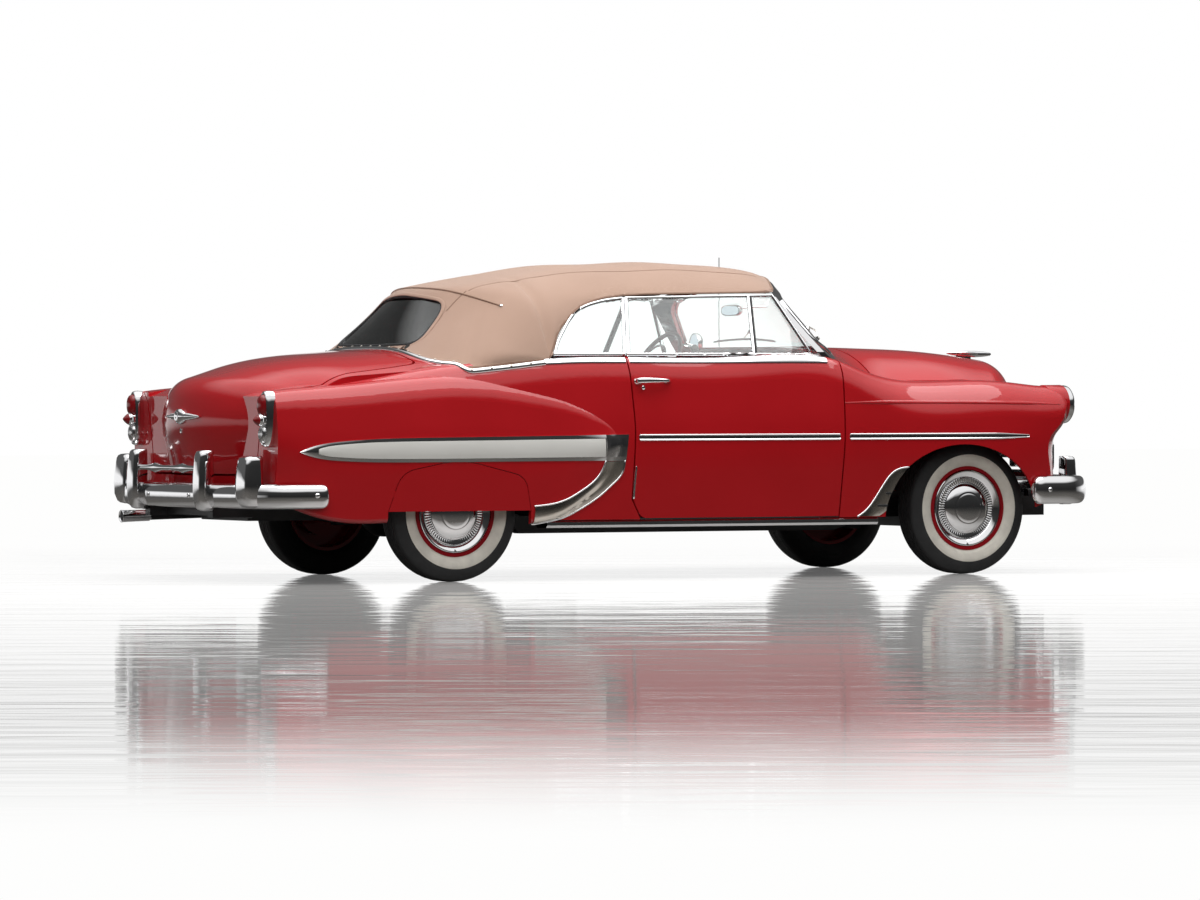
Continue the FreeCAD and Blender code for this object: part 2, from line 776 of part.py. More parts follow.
skirt_slab = side_prism(skirt_outline(0), -1000, 1000)
opening_foot = [(-914 + SEAM_GAP, 200, 0), (-1680 - SEAM_GAP, 200, 0)]
skirt_opening = side_prism(skirt_outline(SEAM_GAP) + opening_foot, -1000, 1000)
tab_reach = side_prism(skirt_outline(SEAM_GAP - REST), -1000, 1000)
tab_zone = block((-1320, -928, 560), (-1280, 928, 640)).fuse(block((-1720, -928, 420), (-880, 928, 450)))
skirt_tabs = rear_shell.common(tab_reach).common(tab_zone)
shaped("fender_skirts", rear_shell.common(skirt_slab).fuse(skirt_tabs))

quarter_side = [(x, z, 0) for x, z in moved(DOOR_REAR, -PANEL_GAP)]
quarter_side += [(-356, 1300, 0), (-2500, 1300, 0), (-2500, 150, 0), (-300, 150, 0)]
quarter_cuts = [lid_opening, cabin_hole, deck_block(SEAM_GAP), tail_block(SEAM_GAP), skirt_opening]
for side_name, side in LEFT_RIGHT:
    region = side_prism(quarter_side, min(0, side * 1000), max(0, side * 1000))
    shaped("quarter_panel_" + side_name, rear_shell.common(region).cut(quarter_cuts))

# ---------------------------------------------------------------- doors
DOOR_SIDE = [(x, z, 0) for x, z in DOOR_FRONT]
DOOR_SIDE += [(-292, 306, 0.3), (-342, 400, 0.3), (-328, 750, 0.2), (-348, 1130, 0)]
POCKET_CLEARANCE = 6
POCKET_OUTLINE = [
    # x and y of the left pocket that the strap swings in, corner share
    (777, 883.5, 0),
    (834, 812, 0),
    (905, 805, 0),
    (905, 929, 0),
    (782.5, 900, 0),
]
door_pockets = []
door_pins = []
for level in DOOR_HINGE_LEVELS:
    low_z = level - STRAP_HEIGHT / 2 - POCKET_CLEARANCE
    high_z = level + STRAP_HEIGHT / 2 + POCKET_CLEARANCE
    pocket = plan_prism(POCKET_OUTLINE, low_z, high_z)
    pocket = pocket.fuse(upright(DOOR_EYE_RADIUS + POCKET_CLEARANCE, low_z, high_z - low_z))
    door_pockets.append(pocket)
    door_pins.append(upright(DOOR_PIN_RADIUS, low_z - 1, high_z - low_z + 2))
for side_name, side in LEFT_RIGHT:
    inner = side * size("door_inner_y")
    region = side_prism(DOOR_SIDE, min(inner, side * 1000), max(inner, side * 1000))
    door = slab.common(region).cut(both_hands(door_pockets)).fuse(both_hands(door_pins))
    keep_side = block((-400, min(0, side * 1000), 150), (900, max(0, side * 1000), 1300))
    shaped("door_" + side_name, door.common(keep_side))

# ---------------------------------------------------------------- soft top and glass
# Half cross-sections of the roof: belt, window top edge, shoulder and crown.
ROOF = [
    # x, belt y, edge y z, shoulder y z, crown z
    (-1420, 840, 640, 1300, 380, 1400, 1425),
    (-1110, 846, 655, 1352, 400, 1438, 1464),
    (-880, 851, 680, 1380, 430, 1478, 1505),
    (-600, 852, 684, 1402, 440, 1526, 1560),
    (-250, 850, 678, 1420, 440, 1556, 1590),
    (200, 846, 674, 1434, 430, 1568, 1600),
    (600, 820, 654, 1438, 400, 1546, 1574),
    (820, 770, 600, 1420, 330, 1512, 1544),
]
BELT_Z = 1110


def roof_body(inset):
    wires = []
    for x, belt_y, edge_y, edge_z, shoulder_y, shoulder_z, crown_z in ROOF:
        half = [
            (belt_y - inset, 1000, 0),
            (belt_y - inset, BELT_Z, 0),
            (edge_y - inset, edge_z - 0.4 * inset, 0.25),
            (shoulder_y, shoulder_z - inset, 0.45),
        ]
        corners = [(Vector(x, y, z), share) for y, z, share in half]
        corners.append((Vector(x, 0, crown_z - inset), 0.45))
        corners += [(Vector(x, -y, z), share) for y, z, share in reversed(half)]
        wires.append(rounded_wire(corners))
    return Part.makeLoft(wires, True, False)


def curtain_profile(y, inset):
    """Everything in front of the sloping rear curtain, at a distance from the centreline."""
    wide = min(y / 850, 1)
    foot_x = -1361 + 260 * (1 - math.sqrt(1 - wide ** 7)) + inset
    foot_z = 1152 - min(86, 74 * (y / 700) ** 2.8)
    bow_x = -1120 + 200 * (y / 620) ** 2 + inset
    bow_z = 1465 - 110 * (y / 620) ** 2
    slope = (bow_x - foot_x) / (bow_z - foot_z)
    low_z, high_z = 1000, 1750
    return [
        (foot_x + slope * (low_z - foot_z), low_z, 0),
        (foot_x + slope * (high_z - foot_z), high_z, 0),
        (1000, high_z, 0),
        (1000, low_z, 0),
    ]


CURTAIN_SECTIONS = (0, 250, 450, 620, 740, 820, 860)


def curtain(inset):
    wires = []
    for y in across(CURTAIN_SECTIONS):
        corners = [(Vector(x, y, z), share) for x, z, share in curtain_profile(abs(y), inset)]
        wires.append(rounded_wire(corners))
    return Part.makeLoft(wires, True, False)


roof_front = plan_prism(
    both_sides([(735, 300, 0.4), (636, 560, 0.3), (560, 760, 0), (-1500, 900, 0)]), 1000, 1700
)
WINDOW_LINE = [
    # the fabric's lower edge over the side windows
    (900, 1000, 0),
    (900, 1440, 0),
    (600, 1437, 0.3),
    (-270, 1420, 0.3),
    (-520, 1378, 0.45),
    (-700, 1222, 0.45),
    (-762, 1080, 0),
    (-762, 1000, 0),
]
rear_light = [(-470, 1166, 0.25), (470, 1166, 0.25), (392, 1392, 0.3), (-392, 1392, 0.3)]


def light_prism(shrink):
    middle = 1279
    corners = []
    for y, z, share in rear_light:
        inward_y = y - math.copysign(shrink, y)
        inward_z = z - math.copysign(shrink, z - middle)
        corners.append((inward_y, inward_z, share))
    return end_prism(corners, -1500, -1040)


fabric = size("fabric_thickness")
glass = size("glass_thickness")
outer_top = roof_body(0).common(curtain(0)).common(roof_front)
inner_top = roof_body(fabric).common(curtain(fabric))
side_lights = side_prism(WINDOW_LINE, -1000, 1000)
shaped("soft_top", outer_top.cut([inner_top, side_lights, light_prism(0), rear_skin]))

pane = curtain(4).cut(curtain(4 + glass)).common(light_prism(1)).common(roof_body(0))
shaped("rear_window", pane)

glass_zone = roof_body(5).cut(roof_body(5 + glass))
GLASS_FOOT_Z = 1117
DOOR_LIGHT = [(747, GLASS_FOOT_Z, 0), (585, 1424, 0), (-262, 1406, 0), (-336, GLASS_FOOT_Z, 0)]
QUARTER_LIGHT = [
    (-352, GLASS_FOOT_Z, 0),
    (-276, 1406, 0.1),
    (-514, 1365, 0.45),
    (-686, 1212, 0.45),
    (-745, GLASS_FOOT_Z, 0),
]
for side_name, side in LEFT_RIGHT:
    region = side_prism(DOOR_LIGHT, min(0, side * 1000), max(0, side * 1000))
    shaped("door_glass_" + side_name, glass_zone.common(region))
shaped("quarter_glass", glass_zone.common(side_prism(QUARTER_LIGHT, -1000, 1000)))

# The windshield leans back and bends round to the door posts.
SHIELD_SECTIONS = (0, 250, 450, 600, 760)


def shield_profile(front, back):
    def profile(y, inset):
        base_x = 1110 - 279 * (y / 740) ** 2.15
        base_z = 1150 - 16 * (y / 740) ** 2
        top_x = 790 - 165 * (y / 600) ** 2
        top_z = 1522 - 94 * (y / 600) ** 2
        lower = 0.25
        foot_x = base_x + lower * (base_x - top_x)
        foot_z = base_z + lower * (base_z - top_z)
        return [
            (foot_x + front, foot_z, 0),
            (top_x + front, top_z, 0),
            (top_x - back, top_z, 0),
            (foot_x - back, foot_z, 0),
        ]
    return profile


shield_frame_outline = [
    (-765, 1000, 0),
    (765, 1000, 0),
    (765, 1120, 0),
    (640, 1440, 0),
    (0, 1700, 0),
    (-640, 1440, 0),
    (-765, 1120, 0),
]
shield_light = [
    (-705, 1166, 0.12),
    (705, 1166, 0.12),
    (586, 1398, 0.3),
    (330, 1474, 0.4),
    (0, 1494, 0.4),
    (-330, 1474, 0.4),
    (-586, 1398, 0.3),
]
frame_slab = crown_loft(SHIELD_SECTIONS, shield_profile(16, 24), 0)
glass_slab = crown_loft(SHIELD_SECTIONS, shield_profile(2, glass - 2), 0)
light = end_prism(shield_light, 400, 1400)
shield = frame_slab.common(end_prism(shield_frame_outline, 400, 1400)).cut([light, front_skin, outer_top])
shaped("windshield_frame", shield)
shaped("windshield_glass", glass_slab.common(light).cut(front_skin))

# ---------------------------------------------------------------- wheels and tyres
# Outlines are (distance out from the tyre's middle, radius).
TYRE = [
    ("-0.36 * Sizes.tyre_width", "Sizes.rim_radius + Sizes.fit_gap"),
    ("-0.36 * Sizes.tyre_width", "Sizes.rim_radius + 12"),
    ("-0.455 * Sizes.tyre_width", "Sizes.rim_radius + 34"),
    ("-0.5 * Sizes.tyre_width", "Sizes.rim_radius + 62"),
    ("-0.475 * Sizes.tyre_width", "Sizes.tyre_radius - 34"),
    ("-0.385 * Sizes.tyre_width", "Sizes.tyre_radius - 8"),
    ("-0.2 * Sizes.tyre_width", "Sizes.tyre_radius"),
    ("0.2 * Sizes.tyre_width", "Sizes.tyre_radius"),
    ("0.385 * Sizes.tyre_width", "Sizes.tyre_radius - 8"),
    ("0.475 * Sizes.tyre_width", "Sizes.tyre_radius - 34"),
    ("0.5 * Sizes.tyre_width", "Sizes.rim_radius + 62"),
    ("0.455 * Sizes.tyre_width", "Sizes.rim_radius + 34"),
    ("0.36 * Sizes.tyre_width", "Sizes.rim_radius + 12"),
    ("0.36 * Sizes.tyre_width", "Sizes.rim_radius + Sizes.fit_gap"),
]
BORE = "Sizes.spindle_radius + Sizes.fit_gap"
WHEEL = [
    ("-0.5 * Sizes.rim_width", "Sizes.rim_radius - 7"),
    ("-0.5 * Sizes.rim_width", "Sizes.rim_radius + 10"),
    ("-0.5 * Sizes.rim_width + 6", "Sizes.rim_radius + 10"),
    ("-0.5 * Sizes.rim_width + 7", "Sizes.rim_radius"),
    ("0.5 * Sizes.rim_width - 7", "Sizes.rim_radius"),
    ("0.5 * Sizes.rim_width - 6", "Sizes.rim_radius + 10"),
    ("0.5 * Sizes.rim_width", "Sizes.rim_radius + 10"),
    ("0.5 * Sizes.rim_width", "Sizes.rim_radius - 7"),
    ("0.5 * Sizes.rim_width - 24", "Sizes.rim_radius - 14"),
    ("38", "Sizes.rim_radius - 60"),
    ("42", "128"),
    ("58", "122"),
    ("72", "96"),
    ("82", "56"),
    ("85", "22"),
    ("85", "0"),
    ("55", "0"),
    ("55", BORE),
    ("-40", BORE),
    ("-40", "55"),
    ("-28", "55"),
    ("-28", "138"),
    ("26", "138"),
    ("26", "Sizes.rim_radius - 14"),
    ("18", "Sizes.rim_radius - 7"),
]
WHEELS = [
    # name, side, axle x, half track
    ("front_left", 1, FRONT_AXLE, "Sizes.front_track / 2"),
    ("front_right", -1, FRONT_AXLE, "Sizes.front_track / 2"),
    ("rear_left", 1, "Sizes.rear_axle_x", "Sizes.rear_track / 2"),
    ("rear_right", -1, "Sizes.rear_axle_x", "Sizes.rear_track / 2"),
]
for place, side, axle_x, half_track in WHEELS:
    for kind, corners in (("tyre", TYRE), ("wheel", WHEEL)):
        handed = [("%d * (%s)" % (side, out), radius) for out, radius in corners]
        body = turned("%s_%s" % (kind, place), handed)
        bind(body, place_x=axle_x, place_y="%d * %s" % (side, half_track), place_z="Sizes.tyre_radius")
        keep(body, "%s_%s" % (kind, place))

# ---------------------------------------------------------------- steering knuckles
KINGPIN_HALF = 95
STUD_RADIUS = 9
STUD_REACH = 13
for side_name, side in LEFT_RIGHT:
    pin_y = "%d * (Sizes.front_track / 2 - Sizes.kingpin_inset)" % side
    name = "knuckle_" + side_name
    upright = rod(
        name + "_upright", (FRONT_AXLE, pin_y, "Sizes.tyre_radius - %d" % KINGPIN_HALF), (0, 0, 1), "20",
        "%d" % (2 * KINGPIN_HALF),
    )
    spindle = rod(
        name + "_spindle", (FRONT_AXLE, pin_y, "Sizes.tyre_radius"), (0, side, 0), "Sizes.spindle_radius",
        "Sizes.kingpin_inset + 50",
    )
    studs = rod(
        name + "_studs",
        (FRONT_AXLE, pin_y, "Sizes.tyre_radius - %d" % (KINGPIN_HALF + STUD_REACH)),
        (0, 0, 1),
        "%d" % STUD_RADIUS,
        "%d" % (2 * (KINGPIN_HALF + STUD_REACH)),
    )
    arm = rod(
        name + "_arm", (FRONT_AXLE, pin_y, "Sizes.tyre_radius - 45"), (-1, -0.28 * side, 0), "11", "150"
    )
    keep(joined(name, [upright, studs, spindle, arm]), name)

# ---------------------------------------------------------------- frame and suspension
RAIL = [
    ("-2390", "320"), ("-1960", "320"), ("-1640", "470"), ("-960", "470"), ("-720", "225"),
    ("1080", "225"), ("1290", "290"), ("2330", "290"),
    ("2330", "390"), ("1250", "390"), ("1050", "312"), ("-760", "312"),
    ("-985", "550"), ("-1620", "550"), ("-1940", "398"), ("-2110", "385"), ("-2390", "385"),
]
frame_pieces = []
for side_name, side in LEFT_RIGHT:
    rail_y = "%d * Sizes.rail_half_spacing" % side
    frame_pieces.append(padded("rail_" + side_name, RAIL, "Sizes.rail_width", rail_y))
CROSSMEMBERS = [
    # x, length, low z, height
    (-2300, 60, 325, 60),
    (-1620, 60, 480, 60),
    (-760, 60, 240, 60),
    (700, 60, 226, 60),
    (1000, 60, 230, 60),
    (2200, 60, 300, 80),
]
rail_inside = "Sizes.rail_half_spacing"
for number, (x, length, low, height) in enumerate(CROSSMEMBERS):
    frame_pieces.append(
        box("crossmember_%d" % number, ("%d" % x, "-" + rail_inside, "%d" % low),
            ("%d" % length, "2 * " + rail_inside, "%d" % height))
    )
diagonal = math.degrees(math.atan2(2 * size("rail_half_spacing"), 1460))
for number, turn in enumerate((diagonal, -diagonal)):
    leg = doc.addObject("Part::Box", "x_member_%d" % number)
    leg.Length = 1640
    leg.Width = 70
    leg.Height = 62
    spin = FreeCAD.Rotation(Vector(0, 0, 1), turn)
    leg.Placement = FreeCAD.Placement(Vector(0, 0, 228) - spin.multVec(Vector(820, 35, 0)), spin)
    frame_pieces.append(leg)
keep(joined("chassis_frame", frame_pieces), "chassis_frame")

# Front suspension: a crossmember between the rails, two arms a side and spring towers.
suspension = [
    box("front_beam", (FRONT_AXLE + " - 60", "-Sizes.rail_half_spacing + Sizes.rail_width / 2", "236"),
        ("120", "2 * Sizes.rail_half_spacing - Sizes.rail_width", "70"))
]
for side_name, side in LEFT_RIGHT:
    pin_y = "%d * (Sizes.front_track / 2 - Sizes.kingpin_inset)" % side
    start_y = "%d * (Sizes.rail_half_spacing - Sizes.rail_width / 2)" % side
    reach = "Sizes.front_track / 2 - Sizes.kingpin_inset - Sizes.rail_half_spacing + Sizes.rail_width / 2"
    for level, low in (("lower", "Sizes.tyre_radius - 126"), ("upper", "Sizes.tyre_radius + 98")):
        ball = rod("ball_%s_%s" % (level, side_name), (FRONT_AXLE, pin_y, low), (0, 0, 1), "24", "28")
        low_y = "%s - (%s)" % (pin_y, reach) if side > 0 else pin_y
        arm = box("arm_%s_%s" % (level, side_name), (FRONT_AXLE + " - 20", low_y, low), ("40", reach, "28"))
        suspension += [ball, arm]
    tower_y = "%d * (Sizes.rail_half_spacing + 75)" % side
    suspension.append(
        rod("spring_" + side_name, (FRONT_AXLE, tower_y, "Sizes.tyre_radius - 112"), (0, 0, 1), "42", "300")
    )
stud_bores = []
for side_name, side in LEFT_RIGHT:
    pin_y = "%d * (Sizes.front_track / 2 - Sizes.kingpin_inset)" % side
    stud_bores.append(
        rod("stud_bore_" + side_name,
            (FRONT_AXLE, pin_y, "Sizes.tyre_radius - %d" % (KINGPIN_HALF + STUD_REACH + 2)), (0, 0, 1),
            "%d + Sizes.seat_clearance" % STUD_RADIUS, "%d" % (2 * (KINGPIN_HALF + STUD_REACH + 2)))
    )
arms_and_springs = joined("arms_and_springs", suspension)
keep(cut_away("front_suspension", arms_and_springs, joined("stud_bores", stud_bores)), "front_suspension")

# Rear axle with its torque tube and leaf springs.
AXLE_TUBE_RADIUS = 42
spring_profile = [
    ("-1880", "408"), ("-1600", "338"), ("-1270", "290"), ("-940", "305"), ("-780", "324"),
    ("-780", "300"), ("-940", "281"), ("-1270", "262"), ("-1600", "312"), ("-1880", "384"),
]
hub_inside = "(Sizes.rear_track / 2 - 46)"
axle_pieces = [
    rod("axle_tube", ("Sizes.rear_axle_x", "-" + hub_inside, "Sizes.tyre_radius"), (0, 1, 0),
        "%d" % AXLE_TUBE_RADIUS, "2 * " + hub_inside),
    rod("axle_shaft", ("Sizes.rear_axle_x", "-Sizes.rear_track / 2 - 50", "Sizes.tyre_radius"), (0, 1, 0),
        "Sizes.spindle_radius", "Sizes.rear_track + 100"),
    rod("torque_tube", ("Sizes.rear_axle_x", "0", "Sizes.tyre_radius"), (1, 0, 0.02), "34", "1930"),
]
casing = doc.addObject("Part::Sphere", "differential")
bind(casing, Radius="130", place_x="Sizes.rear_axle_x", place_z="Sizes.tyre_radius")
axle_pieces.append(casing)
for side_name, side in LEFT_RIGHT:
    axle_pieces.append(padded("leaf_spring_" + side_name, spring_profile, "55", "%d * 500" % side))
    for x, z in ((-794, 312), (-1868, 396)):
        start = "Sizes.rail_half_spacing + Sizes.rail_width / 2" if side > 0 else "-500"
        axle_pieces.append(
            rod("shackle_%s_%d" % (side_name, -x), ("%d" % x, start, "%d" % z), (0, 1, 0), "11",
                "500 - Sizes.rail_half_spacing - Sizes.rail_width / 2")
        )
    axle_pieces.append(
        box(
            "spring_clip_" + side_name,
            ("Sizes.rear_axle_x - 45", "%d * 500 - 34" % side, "258"),
            ("90", "68", "50"),
        )
    )
keep(joined("rear_axle", axle_pieces), "rear_axle")

# ---------------------------------------------------------------- floor, sills and heavy masses
REAR_FLOOR_Z = 556
RISER_X = -760
FLOOR_HALF_WIDTH = 790
REAR_FLOOR_HALF_WIDTH = 648
REAR_FLOOR_X = -2180
WELL_REAR_X = -1650
WELL_FRONT_X = -905
WELL_HEIGHT = 150
WELL_WIDTH = 238
FLOOR_SHEETS = [
    # name, low x, high x, half width, low z, high z
    ("front_floor", RISER_X, FIREWALL_X, FLOOR_HALF_WIDTH, 0, WALL),
    ("floor_riser", RISER_X, RISER_X + WALL, FLOOR_HALF_WIDTH, 0, REAR_FLOOR_Z - size("floor_z") + WALL),
]


def written(value):
    """A plain value as an expression."""
    return "(%s)" % value


floor_pieces = []
for name, low_x, high_x, half_width, low_z, high_z in FLOOR_SHEETS:
    corner = (written(low_x), written(-half_width), "Sizes.floor_z + %s" % low_z)
    spans = (written(high_x - low_x), written(2 * half_width), written(high_z - low_z))
    floor_pieces.append(box(name, corner, spans))
REAR_SHEETS = [
    # name, low x, high x, low y, high y, low z above the rear floor, thickness
    ("rear_floor", REAR_FLOOR_X, RISER_X, -REAR_FLOOR_HALF_WIDTH, REAR_FLOOR_HALF_WIDTH, 0, WALL),
    ("floor_wings", WELL_FRONT_X, RISER_X, -FLOOR_HALF_WIDTH, FLOOR_HALF_WIDTH, 0, WALL),
]
for side_name, side in LEFT_RIGHT:
    wall_y = REAR_FLOOR_HALF_WIDTH - WALL
    wall = sorted((side * REAR_FLOOR_HALF_WIDTH, side * wall_y))
    cover = sorted((side * wall_y, side * (wall_y + WELL_WIDTH)))
    cover_z = WELL_HEIGHT - WALL
    REAR_SHEETS += [
        ("well_wall_" + side_name, WELL_REAR_X, WELL_FRONT_X, wall[0], wall[1], 0, WELL_HEIGHT),
        ("well_cover_" + side_name, WELL_REAR_X, WELL_FRONT_X, cover[0], cover[1], cover_z, WALL),
    ]
for name, low_x, high_x, low_y, high_y, low_z, height in REAR_SHEETS:
    corner = (written(low_x), written(low_y), written(REAR_FLOOR_Z + low_z))
    spans = (written(high_x - low_x), written(high_y - low_y), written(height))
    floor_pieces.append(box(name, corner, spans))
tunnel_outside = box(
    "tunnel_outside",
    (written(RISER_X), written(-TUNNEL_HALF_WIDTH - WALL), "Sizes.floor_z"),
    (
        written(FIREWALL_X - RISER_X),
        written(2 * (TUNNEL_HALF_WIDTH + WALL)),
        "%d - Sizes.floor_z" % TUNNEL_TOP_Z,
    ),
)
tunnel_inside = box(
    "tunnel_inside", (written(RISER_X - 20), written(-TUNNEL_HALF_WIDTH), "Sizes.floor_z - 20"),
    (written(FIREWALL_X - RISER_X + 40), written(2 * TUNNEL_HALF_WIDTH),
     "%d - Sizes.floor_z + 20" % (TUNNEL_TOP_Z - WALL)),
)
floor_pieces.append(tunnel_outside)
keep(cut_away("floor_pan", joined("floor_sheets", floor_pieces), tunnel_inside), "floor_pan")

SILL = [
    ("795", "262"), ("898", "262"), ("910", "274"), ("910", "290"),
    ("902", "298"), ("803", "298"), ("803", "346"), ("795", "346"),
]
SILL_FRONT_X = 1060
SILL_REAR_X = -812
DOOR_REST = [
    # the strip that the closed door's inner face rests against
    ("798", "320"), ("Sizes.door_inner_y - Sizes.seat_clearance", "320"),
    ("Sizes.door_inner_y - Sizes.seat_clearance", "346"), ("798", "346"),
]
sills = []
for side_name, side in LEFT_RIGHT:
    for kind, outline, low_x, high_x in (
        ("sill", SILL, SILL_REAR_X, SILL_FRONT_X), ("door_rest", DOOR_REST, -270, 690)
    ):
        body = doc.addObject("PartDesign::Body", kind + "_" + side_name)
        sketch = outline_sketch(body, "YZ_Plane", [("%d * (%s)" % (side, y), z) for y, z in outline])
        pad = body.newObject("PartDesign::Pad", kind + "_pad_" + side_name)
        pad.Profile = (sketch, [""])
        pad.Length = high_x - low_x
        body.setExpression("Placement.Base.x", "%d" % low_x)
        sills.append(body)
keep(joined("rocker_sills", sills), "rocker_sills")

ENGINE_FOOT_Z = 420
RAIL_TOP_Z = 390
REAR_RAIL_LOW_Z = 320
engine = box(
    "engine_casting", (FRONT_AXLE + " - 430", "-Sizes.engine_width / 2", "%d" % ENGINE_FOOT_Z),
    ("Sizes.engine_length", "Sizes.engine_width", "Sizes.engine_height"),
)
gearbox = rod("gearbox", ("680", "0", "372"), (1, 0, 0), "66", FRONT_AXLE + " - 430 - 680")
outer_rail = "(Sizes.rail_half_spacing + Sizes.rail_width / 2)"
engine_cradle = box(
    "engine_cradle", ("1480", "-" + outer_rail, "%d" % RAIL_TOP_Z),
    ("80", "2 * " + outer_rail, "%d" % (ENGINE_FOOT_Z - RAIL_TOP_Z)),
)
keep(joined("engine_block", [engine, gearbox, engine_cradle]), "engine_block")
core = box("radiator_core", ("2070", "-300", "400"), ("56", "600", "500"))
core_support = box(
    "core_support", ("2076", "-" + outer_rail, "%d" % RAIL_TOP_Z), ("44", "2 * " + outer_rail, "26")
)
keep(joined("radiator", [core, core_support]), "radiator")
tank = box("tank_shell", ("-2170", "-340", "300"), ("440", "560", "170"))
tank_flange = box(
    "tank_flange",
    ("-2180", "-" + outer_rail, "%d - 4" % REAR_RAIL_LOW_Z),
    ("210", "2 * " + outer_rail, "4"),
)
keep(joined("fuel_tank", [tank, tank_flange]), "fuel_tank")

# ---------------------------------------------------------------- seats and controls
FLOOR_TOP = "Sizes.floor_z + %d" % WALL
FRONT_SEAT = [
    ("-400", FLOOR_TOP), ("330", FLOOR_TOP), ("385", "490"), ("340", "560"), ("-150", "548"),
    ("-262", "985"), ("-318", "1030"), ("-400", "1010"), ("-425", "930"),
]
REAR_SEAT = [
    ("-750", FLOOR_TOP), ("-590", FLOOR_TOP), ("-540", "540"), ("-580", "610"), ("-930", "592"),
    ("-1030", "990"), ("-1075", "1035"), ("-1150", "1015"), ("-1165", "%d" % (REAR_FLOOR_Z + WALL)),
    ("-750", "%d" % (REAR_FLOOR_Z + WALL)),
]
SEATS = [
    ("front_seat", FRONT_SEAT, "Sizes.seat_half_width"),
    ("rear_seat", REAR_SEAT, "Sizes.rear_seat_half_width"),
]
for name, outline, half_width in SEATS:
    cushion = padded(name + "_cushion", outline, "2 * " + half_width)
    hollow = box(
        name + "_tunnel", (written(RISER_X), written(-TUNNEL_HALF_WIDTH - 12), "Sizes.floor_z - 10"),
        ("1300", written(2 * TUNNEL_HALF_WIDTH + 24), "%d - Sizes.floor_z + 16" % TUNNEL_TOP_Z),
    )
    keep(cut_away(name, cushion, hollow), name)

DASH = [
    (806, 1200, 0), (806, 962, 0), (735, 950, 0.3), (700, 985, 0.3), (690, 1060, 0.3), (712, 1096, 0.3),
    (764, 1108, 0.2), (772, 1200, 0),
]
DASH_HALF_WIDTH = 760
shaped("dashboard", front_core.common(side_prism(DASH, -DASH_HALF_WIDTH, DASH_HALF_WIDTH)))

tilt = FreeCAD.Rotation(Vector(0, 0, 1), column_axis)
column = doc.addObject("Part::Cylinder", "steering_column")
HUB_LENGTH = 60
HUB_LIFT = 16
column_top = WHEEL_CENTRE + column_axis * (HUB_LENGTH - HUB_LIFT + size("fit_gap"))
column.Placement = FreeCAD.Placement(column_top, tilt)
column.setExpression("Radius", "Sizes.column_radius")
column.Height = 660
keep(column, "steering_column")

rim = doc.addObject("Part::Torus", "steering_rim")
rim.Placement = FreeCAD.Placement(WHEEL_CENTRE, tilt)
bind(rim, Radius1="Sizes.wheel_turn_radius", Radius2="11")
hub = doc.addObject("Part::Cylinder", "steering_hub")
hub.Placement = FreeCAD.Placement(WHEEL_CENTRE - column_axis * HUB_LIFT, tilt)
hub.Radius = 34
hub.Height = HUB_LENGTH
spokes = []
for number, turn in enumerate((80, 280)):
    spoke = doc.addObject("Part::Box", "steering_spoke_%d" % number)
    spin = tilt.multiply(FreeCAD.Rotation(Vector(0, 0, 1), turn))
    spoke.Placement = FreeCAD.Placement(WHEEL_CENTRE - spin.multVec(Vector(0, 12, 4)), spin)
    spoke.Width = 24
    spoke.Height = 9
    spoke.setExpression("Length", "Sizes.wheel_turn_radius")
    spokes.append(spoke)
keep(joined("steering_wheel", [rim, hub] + spokes), "steering_wheel")

# ---------------------------------------------------------------- lamps
LAMP_OUT = [
    ("0", "0"), ("0", "Sizes.headlamp_radius - 12"), ("14", "Sizes.headlamp_radius"),
    ("34", "Sizes.headlamp_radius - 2"),
    ("42", "Sizes.headlamp_radius - 14"),
    ("50", "Sizes.headlamp_radius - 44"),
    ("56", "0"),
]
lamps = []
for side_name, side in LEFT_RIGHT:
    lamp = turned("headlamp_" + side_name, LAMP_OUT, "X")
    lamp_y = "%d * Sizes.headlamp_y" % side
    bind(lamp, place_x="%d - Sizes.headlamp_sink" % FACE_X, place_y=lamp_y, place_z="Sizes.headlamp_z")
    lamps.append(lamp)
keep(joined("headlamps", lamps), "headlamps")

TAIL_LAMP_Y = 800
TAIL_LAMP_SECTIONS = [
    # distance behind the fender, half width, low z, high z
    (0, 46, 668, 936),
    (30, 48, 664, 940),
    (52, 40, 690, 925),
    (66, 22, 730, 880),
]
lamp_shapes = []
for side_name, side in LEFT_RIGHT:
    wires = []
    for back, half, low, high in TAIL_LAMP_SECTIONS:
        x = TAIL_X - back
        y = side * TAIL_LAMP_Y
        corners = [(y - half, low), (y + half, low), (y + half, high), (y - half, high)]
        wires.append(rounded_wire([(Vector(x, cy, cz), 0.45) for cy, cz in corners]))
    lens = Part.makeCone(40, 12, 50, Vector(TAIL_X - 45, side * TAIL_LAMP_Y, 800), Vector(-1, 0, 0))
    lamp_shapes.append(Part.makeLoft(wires, True, False).fuse(lens))
shaped("tail_lamps", Part.makeCompound(lamp_shapes))

